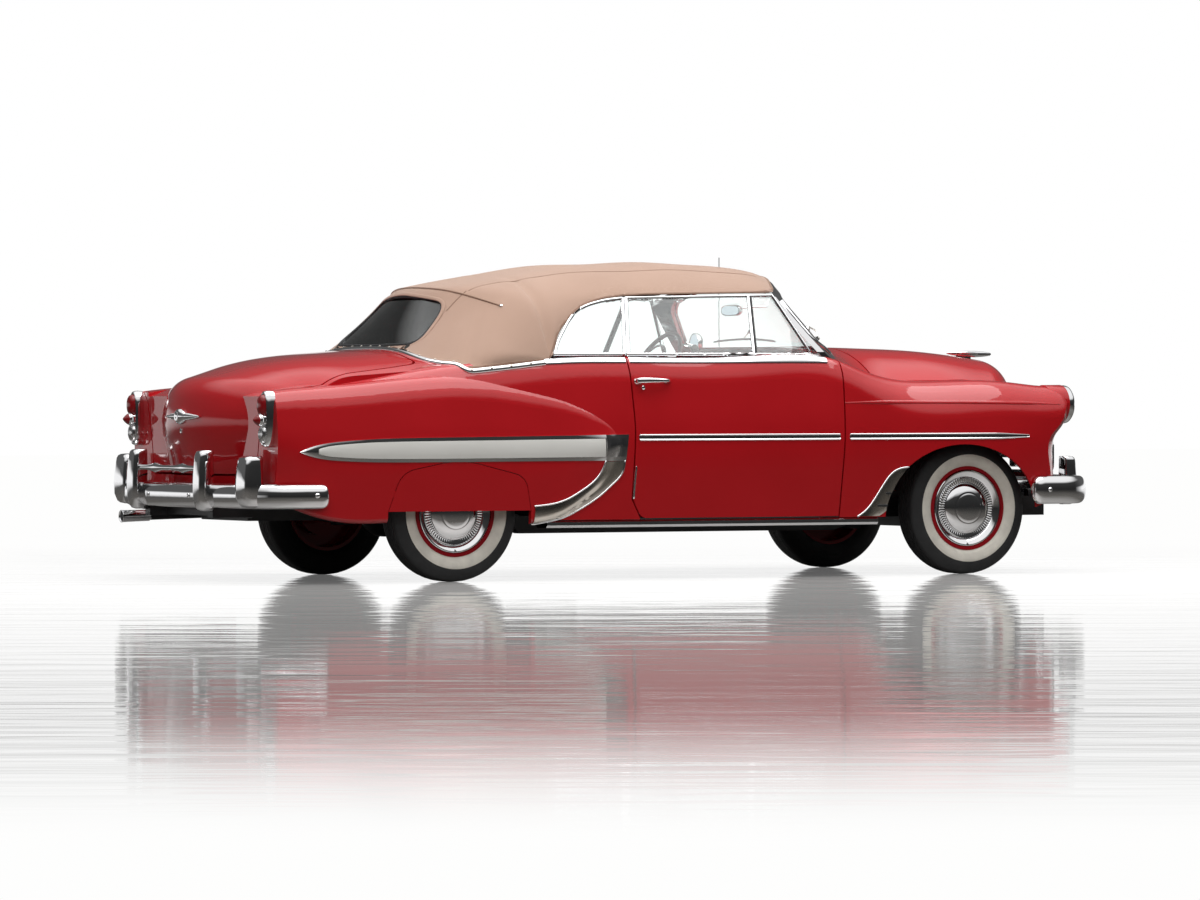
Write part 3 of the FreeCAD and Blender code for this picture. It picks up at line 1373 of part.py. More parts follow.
# ---------------------------------------------------------------- bumpers
def bumper_bar(path_half, low, high):
    """A bulged bar along a plan path given from the middle to the left end."""
    route = [(x, -y, share) for x, y, share in reversed(path_half[1:])] + path_half
    route_edges = rounded_edges([(Vector(x, y, 0), share) for x, y, share in route], closed=False)
    path = Part.Wire(route_edges)
    start, following = route[0], route[1]
    along = Vector(following[0] - start[0], following[1] - start[1], 0).normalize()
    outward = Vector(0, 0, 1).cross(along)
    if outward.dot(Vector(0, start[1], 0)) < 0:
        outward = outward * -1
    origin = Vector(start[0], start[1], 0)
    middle = (low + high) / 2
    outline = [(-14, low + 6, 0.3), (4, low, 0.3), (24, low + 22, 0.3), (28, middle, 0.4),
               (24, high - 22, 0.3), (4, high, 0.3), (-14, high - 6, 0.3)]
    section = rounded_wire([(origin + outward * out + Vector(0, 0, z), share) for out, z, share in outline])
    sweep = Part.BRepOffsetAPI.MakePipeShell(path)
    sweep.setBiNormalMode(Vector(0, 0, 1))
    sweep.add(section, False, False)
    sweep.build()
    sweep.makeSolid()
    return sweep.shape()


def guard(x, y, half_width, depth, low, high, facing):
    """An upright bumper guard, narrower towards its top."""
    wires = []
    for share_up, narrow, thin in ((0, 0.9, 0.75), (0.35, 1.0, 1.0), (0.75, 0.88, 0.9), (1, 0.62, 0.5)):
        z = low + share_up * (high - low)
        half = half_width * narrow
        out = depth * thin
        corners = [(x, y - half), (x + facing * out, y - half), (x + facing * out, y + half), (x, y + half)]
        wires.append(rounded_wire([(Vector(cx, cy, z), 0.35) for cx, cy in corners]))
    return Part.makeLoft(wires, True, False)


FRONT_PATH = [(2440, 0, 0), (2432, 380, 0.4), (2372, 720, 0.45), (2240, 895, 0.45), (1965, 925, 0)]
REAR_PATH = [(-2418, 0, 0), (-2412, 400, 0.4), (-2352, 735, 0.45), (-2225, 910, 0.45), (-1995, 926, 0)]
front_bar = bumper_bar(FRONT_PATH, 358, 500)
front_guards = []
for y in (-470, 470):
    front_guards.append(guard(2410, y, 46, size("bumper_face") - 2410, 345, 596, 1))
for side in (1, -1):
    front_guards.append(
        block((2240, side * 385 - 22, RAIL_TOP_Z), (2436, side * 385 + 22, RAIL_TOP_Z + 42))
    )
shaped("front_bumper", front_bar.fuse(front_guards))
rear_bar = bumper_bar(REAR_PATH, 366, 486)
rear_guards = [guard(-2400, y, 44, 83, 352, 648, -1) for y in (-408, 408)]
rear_guards += [guard(-2300, y, 62, 105, 372, 622, -1) for y in (-742, 742)]
rear_guards.append(Part.makeCylinder(15, 816, Vector(-2452, -408, 560), Vector(0, 1, 0)))
for side in (1, -1):
    rear_guards.append(block((-2412, side * 385 - 22, 350), (-2390, side * 385 + 22, 394)))
shaped("rear_bumper", rear_bar.fuse(rear_guards))

# ---------------------------------------------------------------- exhaust and small pieces
EXHAUST = [
    # x, y, z, share of the shorter leg taken by the bend
    (1290, 160, 520, 0), (1290, 250, 520, 0.4), (1190, 330, 410, 0.4), (1120, 560, 400, 0.4),
    (1075, 590, 262, 0.4), (-860, 590, 262, 0.3), (-1120, 590, 430, 0.4),
    (-1420, 590, 430, 0.4), (-1720, 575, 330, 0.4), (-2454, 560, 312, 0),
]
PIPE_RADIUS = 24
pipe_points = [(Vector(x, y, z), share) for x, y, z, share in EXHAUST]
pipe_path = Part.Wire(rounded_edges(pipe_points, closed=False))
pipe_start, pipe_next = pipe_points[0][0], pipe_points[1][0]
pipe_ring = Part.Wire(Part.Circle(pipe_start, pipe_next - pipe_start, PIPE_RADIUS).toShape())
tail_pipe = Part.BRepOffsetAPI.MakePipeShell(pipe_path)
tail_pipe.add(pipe_ring, False, False)
tail_pipe.build()
tail_pipe.makeSolid()
silencer = Part.makeCylinder(50, 520, Vector(-420, 590, 262), Vector(1, 0, 0))
shaped("exhaust_pipe", tail_pipe.shape().fuse(silencer))

ANTENNA_FOOT = Vector(1030, 735, 1020)
mast = Part.makeCylinder(3, 618, ANTENNA_FOOT)
mast_base = Part.makeCone(16, 6, 52, ANTENNA_FOOT)
shaped("antenna", mast.fuse(mast_base).cut(front_skin))

ornament_wires = []
ORNAMENT_SECTIONS = [
    # x, half width, low z, high z
    (1990, 6, 1128, 1138),
    (2060, 20, 1118, 1142),
    (2160, 16, 1112, 1144),
    (2250, 5, 1120, 1136),
]
for x, half, low, high in ORNAMENT_SECTIONS:
    corners = [(-half, low), (half, low), (half, high), (-half, high)]
    ornament_wires.append(rounded_wire([(Vector(x, y, z), 0.4) for y, z in corners]))
ornament = Part.makeLoft(ornament_wires, True, False)
ornament = ornament.fuse(block((2040, -7, 1060), (2130, 7, 1125))).cut(front_skin)
shaped("hood_ornament", ornament)

mirror_stalk = Part.makeCylinder(5, 160, Vector(955, 850, 1030), Vector(0, 0, 1))
mirror_disc = Part.makeCylinder(52, 14, Vector(945, 850, 1190), Vector(1, 0, 0))
shaped("side_mirror", mirror_stalk.fuse(mirror_disc).cut(front_skin))

# ---------------------------------------------------------------- checks and files
doc.recompute()
faults = []
for item in doc.Objects:
    if "Invalid" in item.State or "Error" in item.State:
        faults.append(item.Label)
for item in parts:
    if item.Shape.isNull() or not item.Shape.isValid() or not item.Shape.Solids:
        faults.append(item.Label)
if faults:
    raise RuntimeError("failed: " + ", ".join(faults))

os.makedirs("parts", exist_ok=True)
for item in parts:
    item.Shape.exportStep("parts/%s.step" % item.Label)
    print("%-22s %d solids %10.1f cm3" % (item.Label, len(item.Shape.Solids), item.Shape.Volume / 1000))
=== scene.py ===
import json
import math

import bmesh
import bpy
from mathutils import Matrix, Vector, noise
from mathutils.bvhtree import BVHTree


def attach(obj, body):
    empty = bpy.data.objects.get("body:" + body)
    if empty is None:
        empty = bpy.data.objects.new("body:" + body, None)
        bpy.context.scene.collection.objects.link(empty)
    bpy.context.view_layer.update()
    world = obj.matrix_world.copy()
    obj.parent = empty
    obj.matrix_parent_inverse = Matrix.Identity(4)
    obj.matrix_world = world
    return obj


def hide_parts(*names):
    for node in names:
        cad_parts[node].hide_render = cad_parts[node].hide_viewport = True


# The looks of a two-door convertible of the early 1950s: enamel, chrome, cloth top, whitewall
# tyres and trim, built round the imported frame. Metres; +X forward, +Y left, +Z up.

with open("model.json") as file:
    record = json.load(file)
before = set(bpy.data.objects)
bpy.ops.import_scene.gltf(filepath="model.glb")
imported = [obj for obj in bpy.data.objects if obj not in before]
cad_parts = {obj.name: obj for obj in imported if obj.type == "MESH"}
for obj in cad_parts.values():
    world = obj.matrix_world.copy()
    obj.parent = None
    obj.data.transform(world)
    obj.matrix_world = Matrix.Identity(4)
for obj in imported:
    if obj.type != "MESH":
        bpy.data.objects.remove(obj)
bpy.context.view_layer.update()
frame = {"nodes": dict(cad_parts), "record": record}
NODES = frame["nodes"]
RIGHT, LEFT = -1, 1
AHEAD, BACK, ACROSS, UP, DOWN = (1, 0, 0), (-1, 0, 0), (0, 1, 0), (0, 0, 1), (0, 0, -1)


# ---------------------------------------------------------------- materials
def new_material(name):
    material = bpy.data.materials.new(name)
    material.use_nodes = True
    nodes = material.node_tree.nodes
    return material, nodes, material.node_tree.links, nodes["Principled BSDF"]


def add_node(nodes, kind, **inputs):
    node = nodes.new("ShaderNode" + kind)
    for name, value in inputs.items():
        node.inputs[name.replace("_", " ")].default_value = value
    return node


def feed(links, socket, value):
    """Link an input, or set it where the value is a number or a colour."""
    if isinstance(value, bpy.types.NodeSocket):
        links.new(value, socket)
    else:
        socket.default_value = value


def maths(nodes, links, operation, *values):
    node = nodes.new("ShaderNodeMath")
    node.operation = operation
    for socket, value in zip(node.inputs, values):
        feed(links, socket, value)
    return node.outputs["Value"]


def colour_mix(nodes, links, factor, first, second, blend="MIX"):
    node = nodes.new("ShaderNodeMix")
    node.data_type = "RGBA"
    node.blend_type = blend
    for name, value in (("Factor", factor), ("A", first), ("B", second)):
        feed(links, node.inputs[name], value)
    return node.outputs["Result"]


def span(nodes, links, value, start, end, low=0.0, high=1.0, smooth=False):
    """Map a value between start and end to one between low and high."""
    node = add_node(nodes, "MapRange", From_Min=start, From_Max=end, To_Min=low, To_Max=high)
    if smooth:
        node.interpolation_type = "SMOOTHSTEP"
    links.new(value, node.inputs["Value"])
    return node.outputs["Result"]


def mapped(nodes, links, source, **settings):
    node = add_node(nodes, "Mapping", **settings)
    links.new(source, node.inputs["Vector"])
    return node.outputs["Vector"]


def object_noise(nodes, links, scale, detail=4.0):
    place = nodes.new("ShaderNodeTexCoord")
    grain = add_node(nodes, "TexNoise", Scale=scale, Detail=detail)
    links.new(place.outputs["Object"], grain.inputs["Vector"])
    return grain


def bump(nodes, links, shader, height, distance, strength=1.0, coat=False):
    node = add_node(nodes, "Bump", Strength=strength, Distance=distance)
    links.new(height, node.inputs["Height"])
    links.new(node.outputs["Normal"], shader.inputs["Coat Normal" if coat else "Normal"])


def ramp(nodes, links, factor, stops):
    node = nodes.new("ShaderNodeValToRGB")
    while len(node.color_ramp.elements) < len(stops):
        node.color_ramp.elements.new(0.5)
    for element, (place, colour) in zip(node.color_ramp.elements, stops):
        element.position = place
        element.color = (*colour, 1.0)
    links.new(factor, node.inputs["Fac"])
    return node


def greys(nodes, links, factor, stops):
    return ramp(nodes, links, factor, [(place, (grey,) * 3) for place, grey in stops]).outputs["Color"]


def mottled(nodes, links, shader, scale, detail, dark, colour, low=0.3, high=0.7):
    """Two shades of the base colour in soft patches."""
    tone = object_noise(nodes, links, scale, detail)
    shades = ramp(nodes, links, tone.outputs["Fac"], [(low, dark), (high, colour)])
    links.new(shades.outputs["Color"], shader.inputs["Base Color"])


def enamel(name, colour, dark):
    """Gloss enamel: a clear coat over pigment with a trace of orange peel."""
    material, nodes, links, shader = new_material(name)
    mottled(nodes, links, shader, 2.2, 3.0, dark, colour)
    shader.inputs["Roughness"].default_value = 0.42
    shader.inputs["Specular IOR Level"].default_value = 0.12
    shader.inputs["Coat Weight"].default_value = 1.0
    shader.inputs["Coat Roughness"].default_value = 0.02
    shader.inputs["Coat IOR"].default_value = 1.5
    peel = object_noise(nodes, links, 160.0, 1.0)
    bump(nodes, links, shader, peel.outputs["Fac"], 0.00004, 0.25, coat=True)
    return material


def metal(name, colour, roughness, waviness=0.0):
    material, nodes, links, shader = new_material(name)
    shader.inputs["Base Color"].default_value = (*colour, 1.0)
    shader.inputs["Metallic"].default_value = 1.0
    haze = object_noise(nodes, links, 9.0, 5.0)
    spread = greys(nodes, links, haze.outputs["Fac"], ((0.35, roughness * 0.7), (0.75, roughness * 1.6)))
    links.new(spread, shader.inputs["Roughness"])
    if waviness:
        wave = object_noise(nodes, links, 14.0, 2.0)
        bump(nodes, links, shader, wave.outputs["Fac"], waviness, 0.5)
    return material


def rubber(name, colour, roughness, grain=260.0):
    material, nodes, links, shader = new_material(name)
    dusty = tuple(min(1.0, 1.35 * c + 0.006) for c in colour)
    mottled(nodes, links, shader, 12.0, 6.0, colour, dusty, 0.35, 0.8)
    shader.inputs["Roughness"].default_value = roughness
    pores = object_noise(nodes, links, grain, 3.0)
    bump(nodes, links, shader, pores.outputs["Fac"], 0.0004, 0.3)
    return material


def canvas(name, colour, dark):
    """Twill cloth: two crossed wave patterns for the threads, with faded patches."""
    material, nodes, links, shader = new_material(name)
    place = nodes.new("ShaderNodeTexCoord").outputs["Object"]
    heights = []
    for turn in (0.0, math.pi / 2):
        threads = add_node(nodes, "TexWave", Scale=330.0, Distortion=1.2, Detail=1.0)
        links.new(
            mapped(nodes, links, place, Rotation=(0.6 * turn, 0.4 * turn, turn)), threads.inputs["Vector"]
        )
        heights.append(threads.outputs["Fac"])
    weave = maths(nodes, links, "MULTIPLY", *heights)
    fade = object_noise(nodes, links, 2.6, 6.0)
    shades = ramp(nodes, links, fade.outputs["Fac"], [(0.3, dark), (0.72, colour)])
    woven = colour_mix(nodes, links, 0.10, shades.outputs["Color"], weave, "MULTIPLY")
    links.new(woven, shader.inputs["Base Color"])
    for setting, value in (
        ("Roughness", 0.86), ("Sheen Weight", 0.25), ("Sheen Roughness", 0.5), ("Specular IOR Level", 0.25),
    ):
        shader.inputs[setting].default_value = value
    bump(nodes, links, shader, weave, 0.0006, 0.45)
    return material


def glass(name, colour, roughness=0.0):
    material, nodes, links, shader = new_material(name)
    shader.inputs["Base Color"].default_value = (*colour, 1.0)
    shader.inputs["Transmission Weight"].default_value = 1.0
    shader.inputs["Roughness"].default_value = roughness
    shader.inputs["IOR"].default_value = 1.5
    smear = object_noise(nodes, links, 3.0, 5.0)
    bump(nodes, links, shader, smear.outputs["Fac"], 0.0002, 0.05)
    return material


def leathercloth(name, colour, dark, roughness=0.45):
    material, nodes, links, shader = new_material(name)
    cells = add_node(nodes, "TexVoronoi", Scale=420.0)
    place = nodes.new("ShaderNodeTexCoord")
    links.new(place.outputs["Object"], cells.inputs["Vector"])
    mottled(nodes, links, shader, 5.0, 5.0, dark, colour)
    shader.inputs["Roughness"].default_value = roughness
    bump(nodes, links, shader, cells.outputs["Distance"], 0.0005, 0.4)
    return material


PAINT = enamel("paint", (0.50, 0.006, 0.011), (0.46, 0.005, 0.009))
WHEEL_PAINT = enamel("wheel_paint", (0.36, 0.006, 0.012), (0.30, 0.004, 0.010))
CHROME = metal("chrome", (0.86, 0.86, 0.87), 0.045, 0.0004)
STAINLESS = metal("stainless", (0.62, 0.58, 0.52), 0.16)
BLACK_PAINT = rubber("black_paint", (0.012, 0.012, 0.013), 0.45, 90.0)
TYRE_RUBBER = rubber("tyre_rubber", (0.016, 0.016, 0.017), 0.62)
WHITEWALL = rubber("whitewall", (0.74, 0.70, 0.62), 0.55)
SEAL = rubber("seal", (0.010, 0.010, 0.011), 0.5)
IVORY = enamel("ivory_paint", (0.80, 0.79, 0.75), (0.74, 0.73, 0.69))
CANVAS = canvas("canvas", (0.475, 0.312, 0.236), (0.436, 0.283, 0.211))
BINDING = canvas("binding", (0.30, 0.18, 0.125), (0.26, 0.155, 0.105))
CLEAR_GLASS = glass("clear_glass", (0.93, 0.97, 0.96))
RED_LENS = enamel("red_lens", (0.26, 0.003, 0.006), (0.20, 0.002, 0.004))
LENS_GLASS = glass("lens_glass", (0.92, 0.92, 0.90), 0.02)
REFLECTOR = metal("reflector", (0.78, 0.78, 0.78), 0.20)
LINING = rubber("lining", (0.016, 0.014, 0.013), 0.9, 500.0)
SEAT_RED = leathercloth("seat_red", (0.30, 0.014, 0.020), (0.23, 0.010, 0.015))
DASH_RED = leathercloth("dash_red", (0.22, 0.012, 0.016), (0.18, 0.010, 0.013), 0.35)
CARPET = rubber("carpet", (0.09, 0.012, 0.014), 0.95, 600.0)
MAROON_PLASTIC = enamel("maroon_plastic", (0.20, 0.010, 0.014), (0.16, 0.008, 0.011))
IRON = rubber("iron", (0.06, 0.065, 0.07), 0.6, 120.0)
MIRROR_GLASS = metal("mirror_glass", (0.55, 0.62, 0.68), 0.02)

NODE_MATERIALS = {
    PAINT: (
        "hood front_fender_left front_fender_right nose_panel cowl trunk_lid rear_deck tail_panel fender_skirts"
        " quarter_panel_left quarter_panel_right door_left door_right"
    ),
    CHROME: (
        "grille windshield_frame front_bumper rear_bumper headlamps tail_lamps hood_ornament side_mirror antenna"
        " rocker_sills"
    ),
    CLEAR_GLASS: "windshield_glass door_glass_left door_glass_right quarter_glass rear_window",
    BLACK_PAINT: (
        "chassis_frame front_suspension rear_axle knuckle_left knuckle_right exhaust_pipe fuel_tank radiator"
        " floor_pan"
    ),
    IRON: "engine_block",
    WHEEL_PAINT: "wheel_front_left wheel_front_right wheel_rear_left wheel_rear_right",
    TYRE_RUBBER: "tyre_front_left tyre_front_right tyre_rear_left tyre_rear_right",
    CANVAS: "soft_top",
    SEAT_RED: "front_seat rear_seat",
    DASH_RED: "dashboard",
    MAROON_PLASTIC: "steering_wheel steering_column",
}
for material, names in NODE_MATERIALS.items():
    for name in names.split():
        NODES[name].data.materials.clear()
        NODES[name].data.materials.append(material)

# ---------------------------------------------------------------- mesh helpers
BODY_OF = {node: body for body, nodes in frame["record"]["behaviour"]["bodies"].items() for node in nodes}
PAINTED = NODE_MATERIALS[PAINT].split()
HANDS = ((LEFT, "left"), (RIGHT, "right"))


def piece(name, points, faces, materials, body, slots=None, sharp=35.0):
    """A closed skin with smooth shading up to the sharp angle, which rides on a body."""
    mesh = bpy.data.meshes.new(name)
    mesh.from_pydata([tuple(point) for point in points], [], faces)
    materials = materials if isinstance(materials, (list, tuple)) else [materials]
    for material in materials:
        mesh.materials.append(material)
    if slots:
        for polygon, index in zip(mesh.polygons, slots):
            polygon.material_index = index
    work = bmesh.new()
    work.from_mesh(mesh)
    bmesh.ops.remove_doubles(work, verts=work.verts, dist=1e-6)
    bmesh.ops.recalc_face_normals(work, faces=work.faces)
    work.to_mesh(mesh)
    work.free()
    mesh.shade_smooth()
    mesh.set_sharp_from_angle(angle=math.radians(sharp))
    shown = bpy.data.objects.new(name, mesh)
    bpy.context.scene.collection.objects.link(shown)
    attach(shown, body)
    return shown


def tree_of(meshes):
    """Two tests on (owner, mesh) pairs: where a ray meets them, and their nearest spot, with normal and owner."""
    points, faces, owners = [], [], []
    for owner, mesh in meshes:
        first = len(points)
        points += [vertex.co.copy() for vertex in mesh.vertices]
        for polygon in mesh.polygons:
            faces.append([first + index for index in polygon.vertices])
            owners.append(owner)
    tree = BVHTree.FromPolygons(points, faces)

    def cast(origin, direction, reach=10.0):
        spot, normal, index, _ = tree.ray_cast(origin, direction, reach)
        if spot is None:
            return None
        if normal.dot(direction) > 0:
            normal = -normal
        return spot, normal, owners[index]

    def nearest(point):
        spot, normal, index, _ = tree.find_nearest(point)
        return spot, normal, owners[index]

    return cast, nearest


def nodes_tree(names):
    return tree_of([(name, NODES[name].data) for name in names])


SKIN, _ = nodes_tree(PAINTED)


def side_point(x, z, side):
    """Where a line from the side meets the painted skin."""
    return SKIN(Vector((x, side * 1.6, z)), Vector((0, -side, 0)), 1.05)


def top_point(x, y):
    return SKIN(Vector((x, y, 2.0)), Vector(DOWN), 1.4)


def back_point(y, z):
    return SKIN(Vector((-3.2, y, z)), Vector(AHEAD), 1.3)


def resample(points, count, closed=False, smooth=True):
    """Evenly spaced points along a curve through the given ones."""
    points = [Vector(point) for point in points]
    if closed:
        points = points + [points[0]]
    dense = []
    last = len(points) - 1
    for k in range(last):
        if smooth:
            before = points[k - 1] if k else (points[-2] if closed else points[0] * 2 - points[1])
            after = points[k + 2] if k + 2 <= last else (
                points[1] if closed else points[last] * 2 - points[last - 1]
            )
            for step in range(12):
                t = step / 12
                p0, p1, p2, p3 = before, points[k], points[k + 1], after
                dense.append(
                    0.5 * (2 * p1 + (p2 - p0) * t + (2 * p0 - 5 * p1 + 4 * p2 - p3) * t * t
                           + (3 * p1 - p0 - 3 * p2 + p3) * t ** 3)
                )
        else:
            dense.append(points[k])
    dense.append(points[-1])
    lengths = [0.0]
    for a, b in zip(dense, dense[1:]):
        lengths.append(lengths[-1] + (b - a).length)
    total = lengths[-1]
    result, k = [], 0
    spans = count if closed else count - 1
    for i in range(count):
        want = total * i / spans
        while k < len(dense) - 2 and lengths[k + 1] < want:
            k += 1
        width = lengths[k + 1] - lengths[k]
        part = 0 if width == 0 else (want - lengths[k]) / width
        result.append(dense[k].lerp(dense[k + 1], min(max(part, 0), 1)))
    return result


def trace_side(points, side, step=0.012, smooth=True):
    """Stations (spot, normal, owner) on the painted skin along an (x, z) line."""
    line = [Vector((x, 0, z)) for x, z in points]
    length = sum((b - a).length for a, b in zip(line, line[1:]))
    found = [side_point(p.x, p.z, side) for p in resample(line, max(4, int(length / step)), smooth=smooth)]
    return [hit for hit in found if hit and abs(hit[0].y) > 0.6]


def by_body(stations):
    """Cut a line of stations where it passes from one body to the next."""
    parts = []
    for station in stations:
        body = BODY_OF[station[2]]
        if not parts or parts[-1][0] != body:
            parts.append((body, []))
        parts[-1][1].append(station)
    return [(body, part) for body, part in parts if len(part) > 3]


def evened(stations, passes=3):
    """Average the normals and the depth of neighbouring stations, so that facets don't show."""
    spots = [station[0].copy() for station in stations]
    normals = [station[1].copy() for station in stations]
    for _ in range(passes):
        spots = [spots[0]] + [
            (a + 2 * b + c) / 4 for a, b, c in zip(spots, spots[1:], spots[2:])
        ] + [spots[-1]]
        normals = [normals[0]] + [
            (a + 2 * b + c).normalized() for a, b, c in zip(normals, normals[1:], normals[2:])
        ] + [normals[-1]]
    return list(zip(spots, normals))


def lifted(stations, height):
    return [(station[0] + station[1] * height, station[1]) for station in stations]


def half_round(width, height, sunk=0.002, steps=7):
    """A bead's section as (across, up) points."""
    arc = [
        (0.5 * width * math.cos(math.pi * k / steps), height * math.sin(math.pi * k / steps))
        for k in range(steps + 1)
    ]
    return [(0.5 * width, -sunk)] + arc + [(-0.5 * width, -sunk)]


def moulding(name, stations, section, materials, body, closed=False, bands=None, ends=(1.0, 1.0), sharp=40.0):
    """Sweep a closed section along stations of (spot, normal)."""
    count = len(stations)
    points, faces, slots = [], [], []
    size = len(section)
    tip = 0.004
    rows = []
    for i, (spot, normal) in enumerate(stations):
        ahead = stations[(i + 1) % count][0] if closed or i + 1 < count else spot
        behind = stations[i - 1][0] if closed or i else spot
        along = (ahead - behind).normalized()
        out = (normal - along * normal.dot(along)).normalized()
        across = along.cross(out)
        scale = 1.0
        if not closed:
            share = i / (count - 1)
            end, from_end = (ends[0], share) if share < 0.5 else (ends[1], 1 - share)
            scale = end + (1 - end) * min(1, from_end * 6)
        rows.append([spot + across * (a * scale) + out * (b * max(scale, 0.5)) for a, b in section])
        if not closed and i in (0, count - 1):
            beyond = along * (-tip if i == 0 else tip)
            shrunk = [spot + beyond + across * (a * scale * 0.6) + out * (
                min(b, 0) + max(b, 0) * 0.5
            ) for a, b in section]
            rows.insert(0 if i == 0 else len(rows), shrunk)
    for row in rows:
        points += row
    total = len(rows)
    for r in range(total if closed else total - 1):
        following = (r + 1) % total
        for k in range(size):
            faces.append((
                r * size + k, r * size + (k + 1) % size, following * size + (k + 1) % size,
                following * size + k
            ))
            slots.append(bands[k] if bands else 0)
    if not closed:
        faces.append(tuple(range(size)))
        faces.append(tuple(range((total - 1) * size, total * size)))
        slots += [0, 0]
    return piece(name, points, faces, materials, body, slots, sharp)


def overlay(name, grid, lift, materials, body, crown=0.0, skirt=0.003, sharp=40.0, slot_of=None):
    """A thin shaped plate laid over stations given as a grid; its rim turns down to the skin."""
    rows, columns = len(grid), len(grid[0])
    points, faces, slots = [], [], []
    for r, row in enumerate(grid):
        for c, (spot, normal) in enumerate(row):
            share = 2 * r / (rows - 1) - 1
            points.append(spot + normal * (lift + crown * (1 - share * share)))
    for r in range(rows - 1):
        for c in range(columns - 1):
            faces.append(
                (r * columns + c, r * columns + c + 1, (r + 1) * columns + c + 1, (r + 1) * columns + c)
            )
            slots.append(slot_of(r, c) if slot_of else 0)
    rim = [(0, c) for c in range(columns)] + [(r, columns - 1) for r in range(1, rows)]
    rim += [(rows - 1, c) for c in range(columns - 2, -1, -1)] + [(r, 0) for r in range(rows - 2, 0, -1)]
    first = len(points)
    for r, c in rim:
        spot, normal = grid[r][c]
        points.append(spot - normal * skirt)
    for k in range(len(rim)):
        a, b = rim[k], rim[(k + 1) % len(rim)]
        faces.append((a[0] * columns + a[1], b[0] * columns + b[1], first + (k + 1) % len(rim), first + k))
        slots.append(0)
    return piece(name, points, faces, materials, body, slots, sharp)


def turned(name, profile, centre, axis, materials, body, steps=64, slot_of=None, sharp=35.0, ripple=None):
    """Revolve (out, radius) points about an axis through a centre."""
    axis = Vector(axis).normalized()
    first = Vector(UP) if abs(axis.z) < 0.9 else Vector(AHEAD)
    first = (first - axis * first.dot(axis)).normalized()
    second = axis.cross(first)
    centre = Vector(centre)
    points, faces, slots = [], [], []
    size = len(profile)
    for step in range(steps):
        turn = 2 * math.pi * step / steps
        ray = first * math.cos(turn) + second * math.sin(turn)
        for k, (out, radius) in enumerate(profile):
            extra = ripple(step, k) if ripple else (0.0, 0.0)
            points.append(centre + axis * (out + extra[0]) + ray * (radius + extra[1]))
    for step in range(steps):
        following = (step + 1) % steps
        for k in range(size - 1):
            faces.append(
                (step * size + k, step * size + k + 1, following * size + k + 1, following * size + k)
            )
            slots.append(slot_of(k, step) if slot_of else 0)
    return piece(name, points, faces, materials, body, slots, sharp)


def lofted(name, rings, materials, body, sharp=40.0):
    """A skin over equal-sized closed rings of points."""
    points = [point for ring in rings for point in ring]
    size = len(rings[0])
    faces = []
    for r in range(len(rings) - 1):
        for k in range(size):
            faces.append(
                (r * size + k, r * size + (k + 1) % size, (r + 1) * size + (k + 1) % size, (r + 1) * size + k)
            )
    faces.append(tuple(range(size)))
    faces.append(tuple(range((len(rings) - 1) * size, len(rings) * size)))
    return piece(name, points, faces, materials, body, None, sharp)


def oval(centre, across, up, half_across, half_up, power=2.0, count=24):
    """A ring of points on a superellipse in the plane of two directions."""
    ring = []
    for k in range(count):
        turn = 2 * math.pi * k / count
        c, s = math.cos(turn), math.sin(turn)
        a = math.copysign(abs(c) ** (2 / power), c) * half_across
        b = math.copysign(abs(s) ** (2 / power), s) * half_up
        ring.append(Vector(centre) + Vector(across) * a + Vector(up) * b)
    return ring

# ---------------------------------------------------------------- tyres and wheels
TYRE_RADIUS = 0.337
TYRE_SIDE = [
    # out from the middle, radius
    (0.0612, 0.2045), (0.0640, 0.2120), (0.0722, 0.2220), (0.0790, 0.2330), (0.0833, 0.2480),
    (0.0850, 0.2620),
    (0.0848, 0.2700), (0.0836, 0.2735), (0.0842, 0.2770), (0.0838, 0.2850), (0.0822, 0.2960),
    (0.0795, 0.3060),
    (0.0768, 0.3140), (0.0735, 0.3205), (0.0700, 0.3265), (0.0655, 0.3302),
]
TREAD = [
    # out, depth below the tread, whether the edge zigzags
    (0.0600, 0.0035, 0), (0.0470, 0.0012, 1), (0.0455, 0.0080, 1), (0.0425, 0.0080, 1), (0.0410, 0.0008, 1),
    (0.0265, 0.0004, 1), (0.0250, 0.0080, 1), (0.0215, 0.0080, 1), (0.0200, 0.0002, 1), (0.0085, 0.0, 1),
    (0.0070, 0.0075, 1), (0.0040, 0.0075, 1), (0.0025, 0.0, 1),
]
TYRE_STEPS = 168


def tyre(name, node, centre, side, body):
    half = [(out, radius, 0) for out, radius in TYRE_SIDE]
    half += [(out, TYRE_RADIUS - depth, zigzag) for out, depth, zigzag in TREAD]
    profile = half + [(-out, radius, zigzag) for out, radius, zigzag in reversed(half)]
    white = {k for k, (out, radius, _) in enumerate(profile[:-1]) if out > 0 and 0.2115 < radius < 0.2734}

    def ripple(step, k):
        out, radius, zigzag = profile[k]
        if zigzag:
            return (0.0022 * (1 if step % 4 < 2 else -1), 0.0)
        if 0.300 < radius < 0.328:
            return (0.0, 0.0) if step % 3 else (-0.0016 * math.copysign(1, out), -0.0012)
        return (0.0, 0.0)

    shown = turned(
        name, [(out, radius) for out, radius, _ in profile], centre, (0, side, 0), [TYRE_RUBBER, WHITEWALL],
        body,
        TYRE_STEPS, lambda k, step: 1 if k in white else 0, 32.0, ripple,
    )
    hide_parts(node)


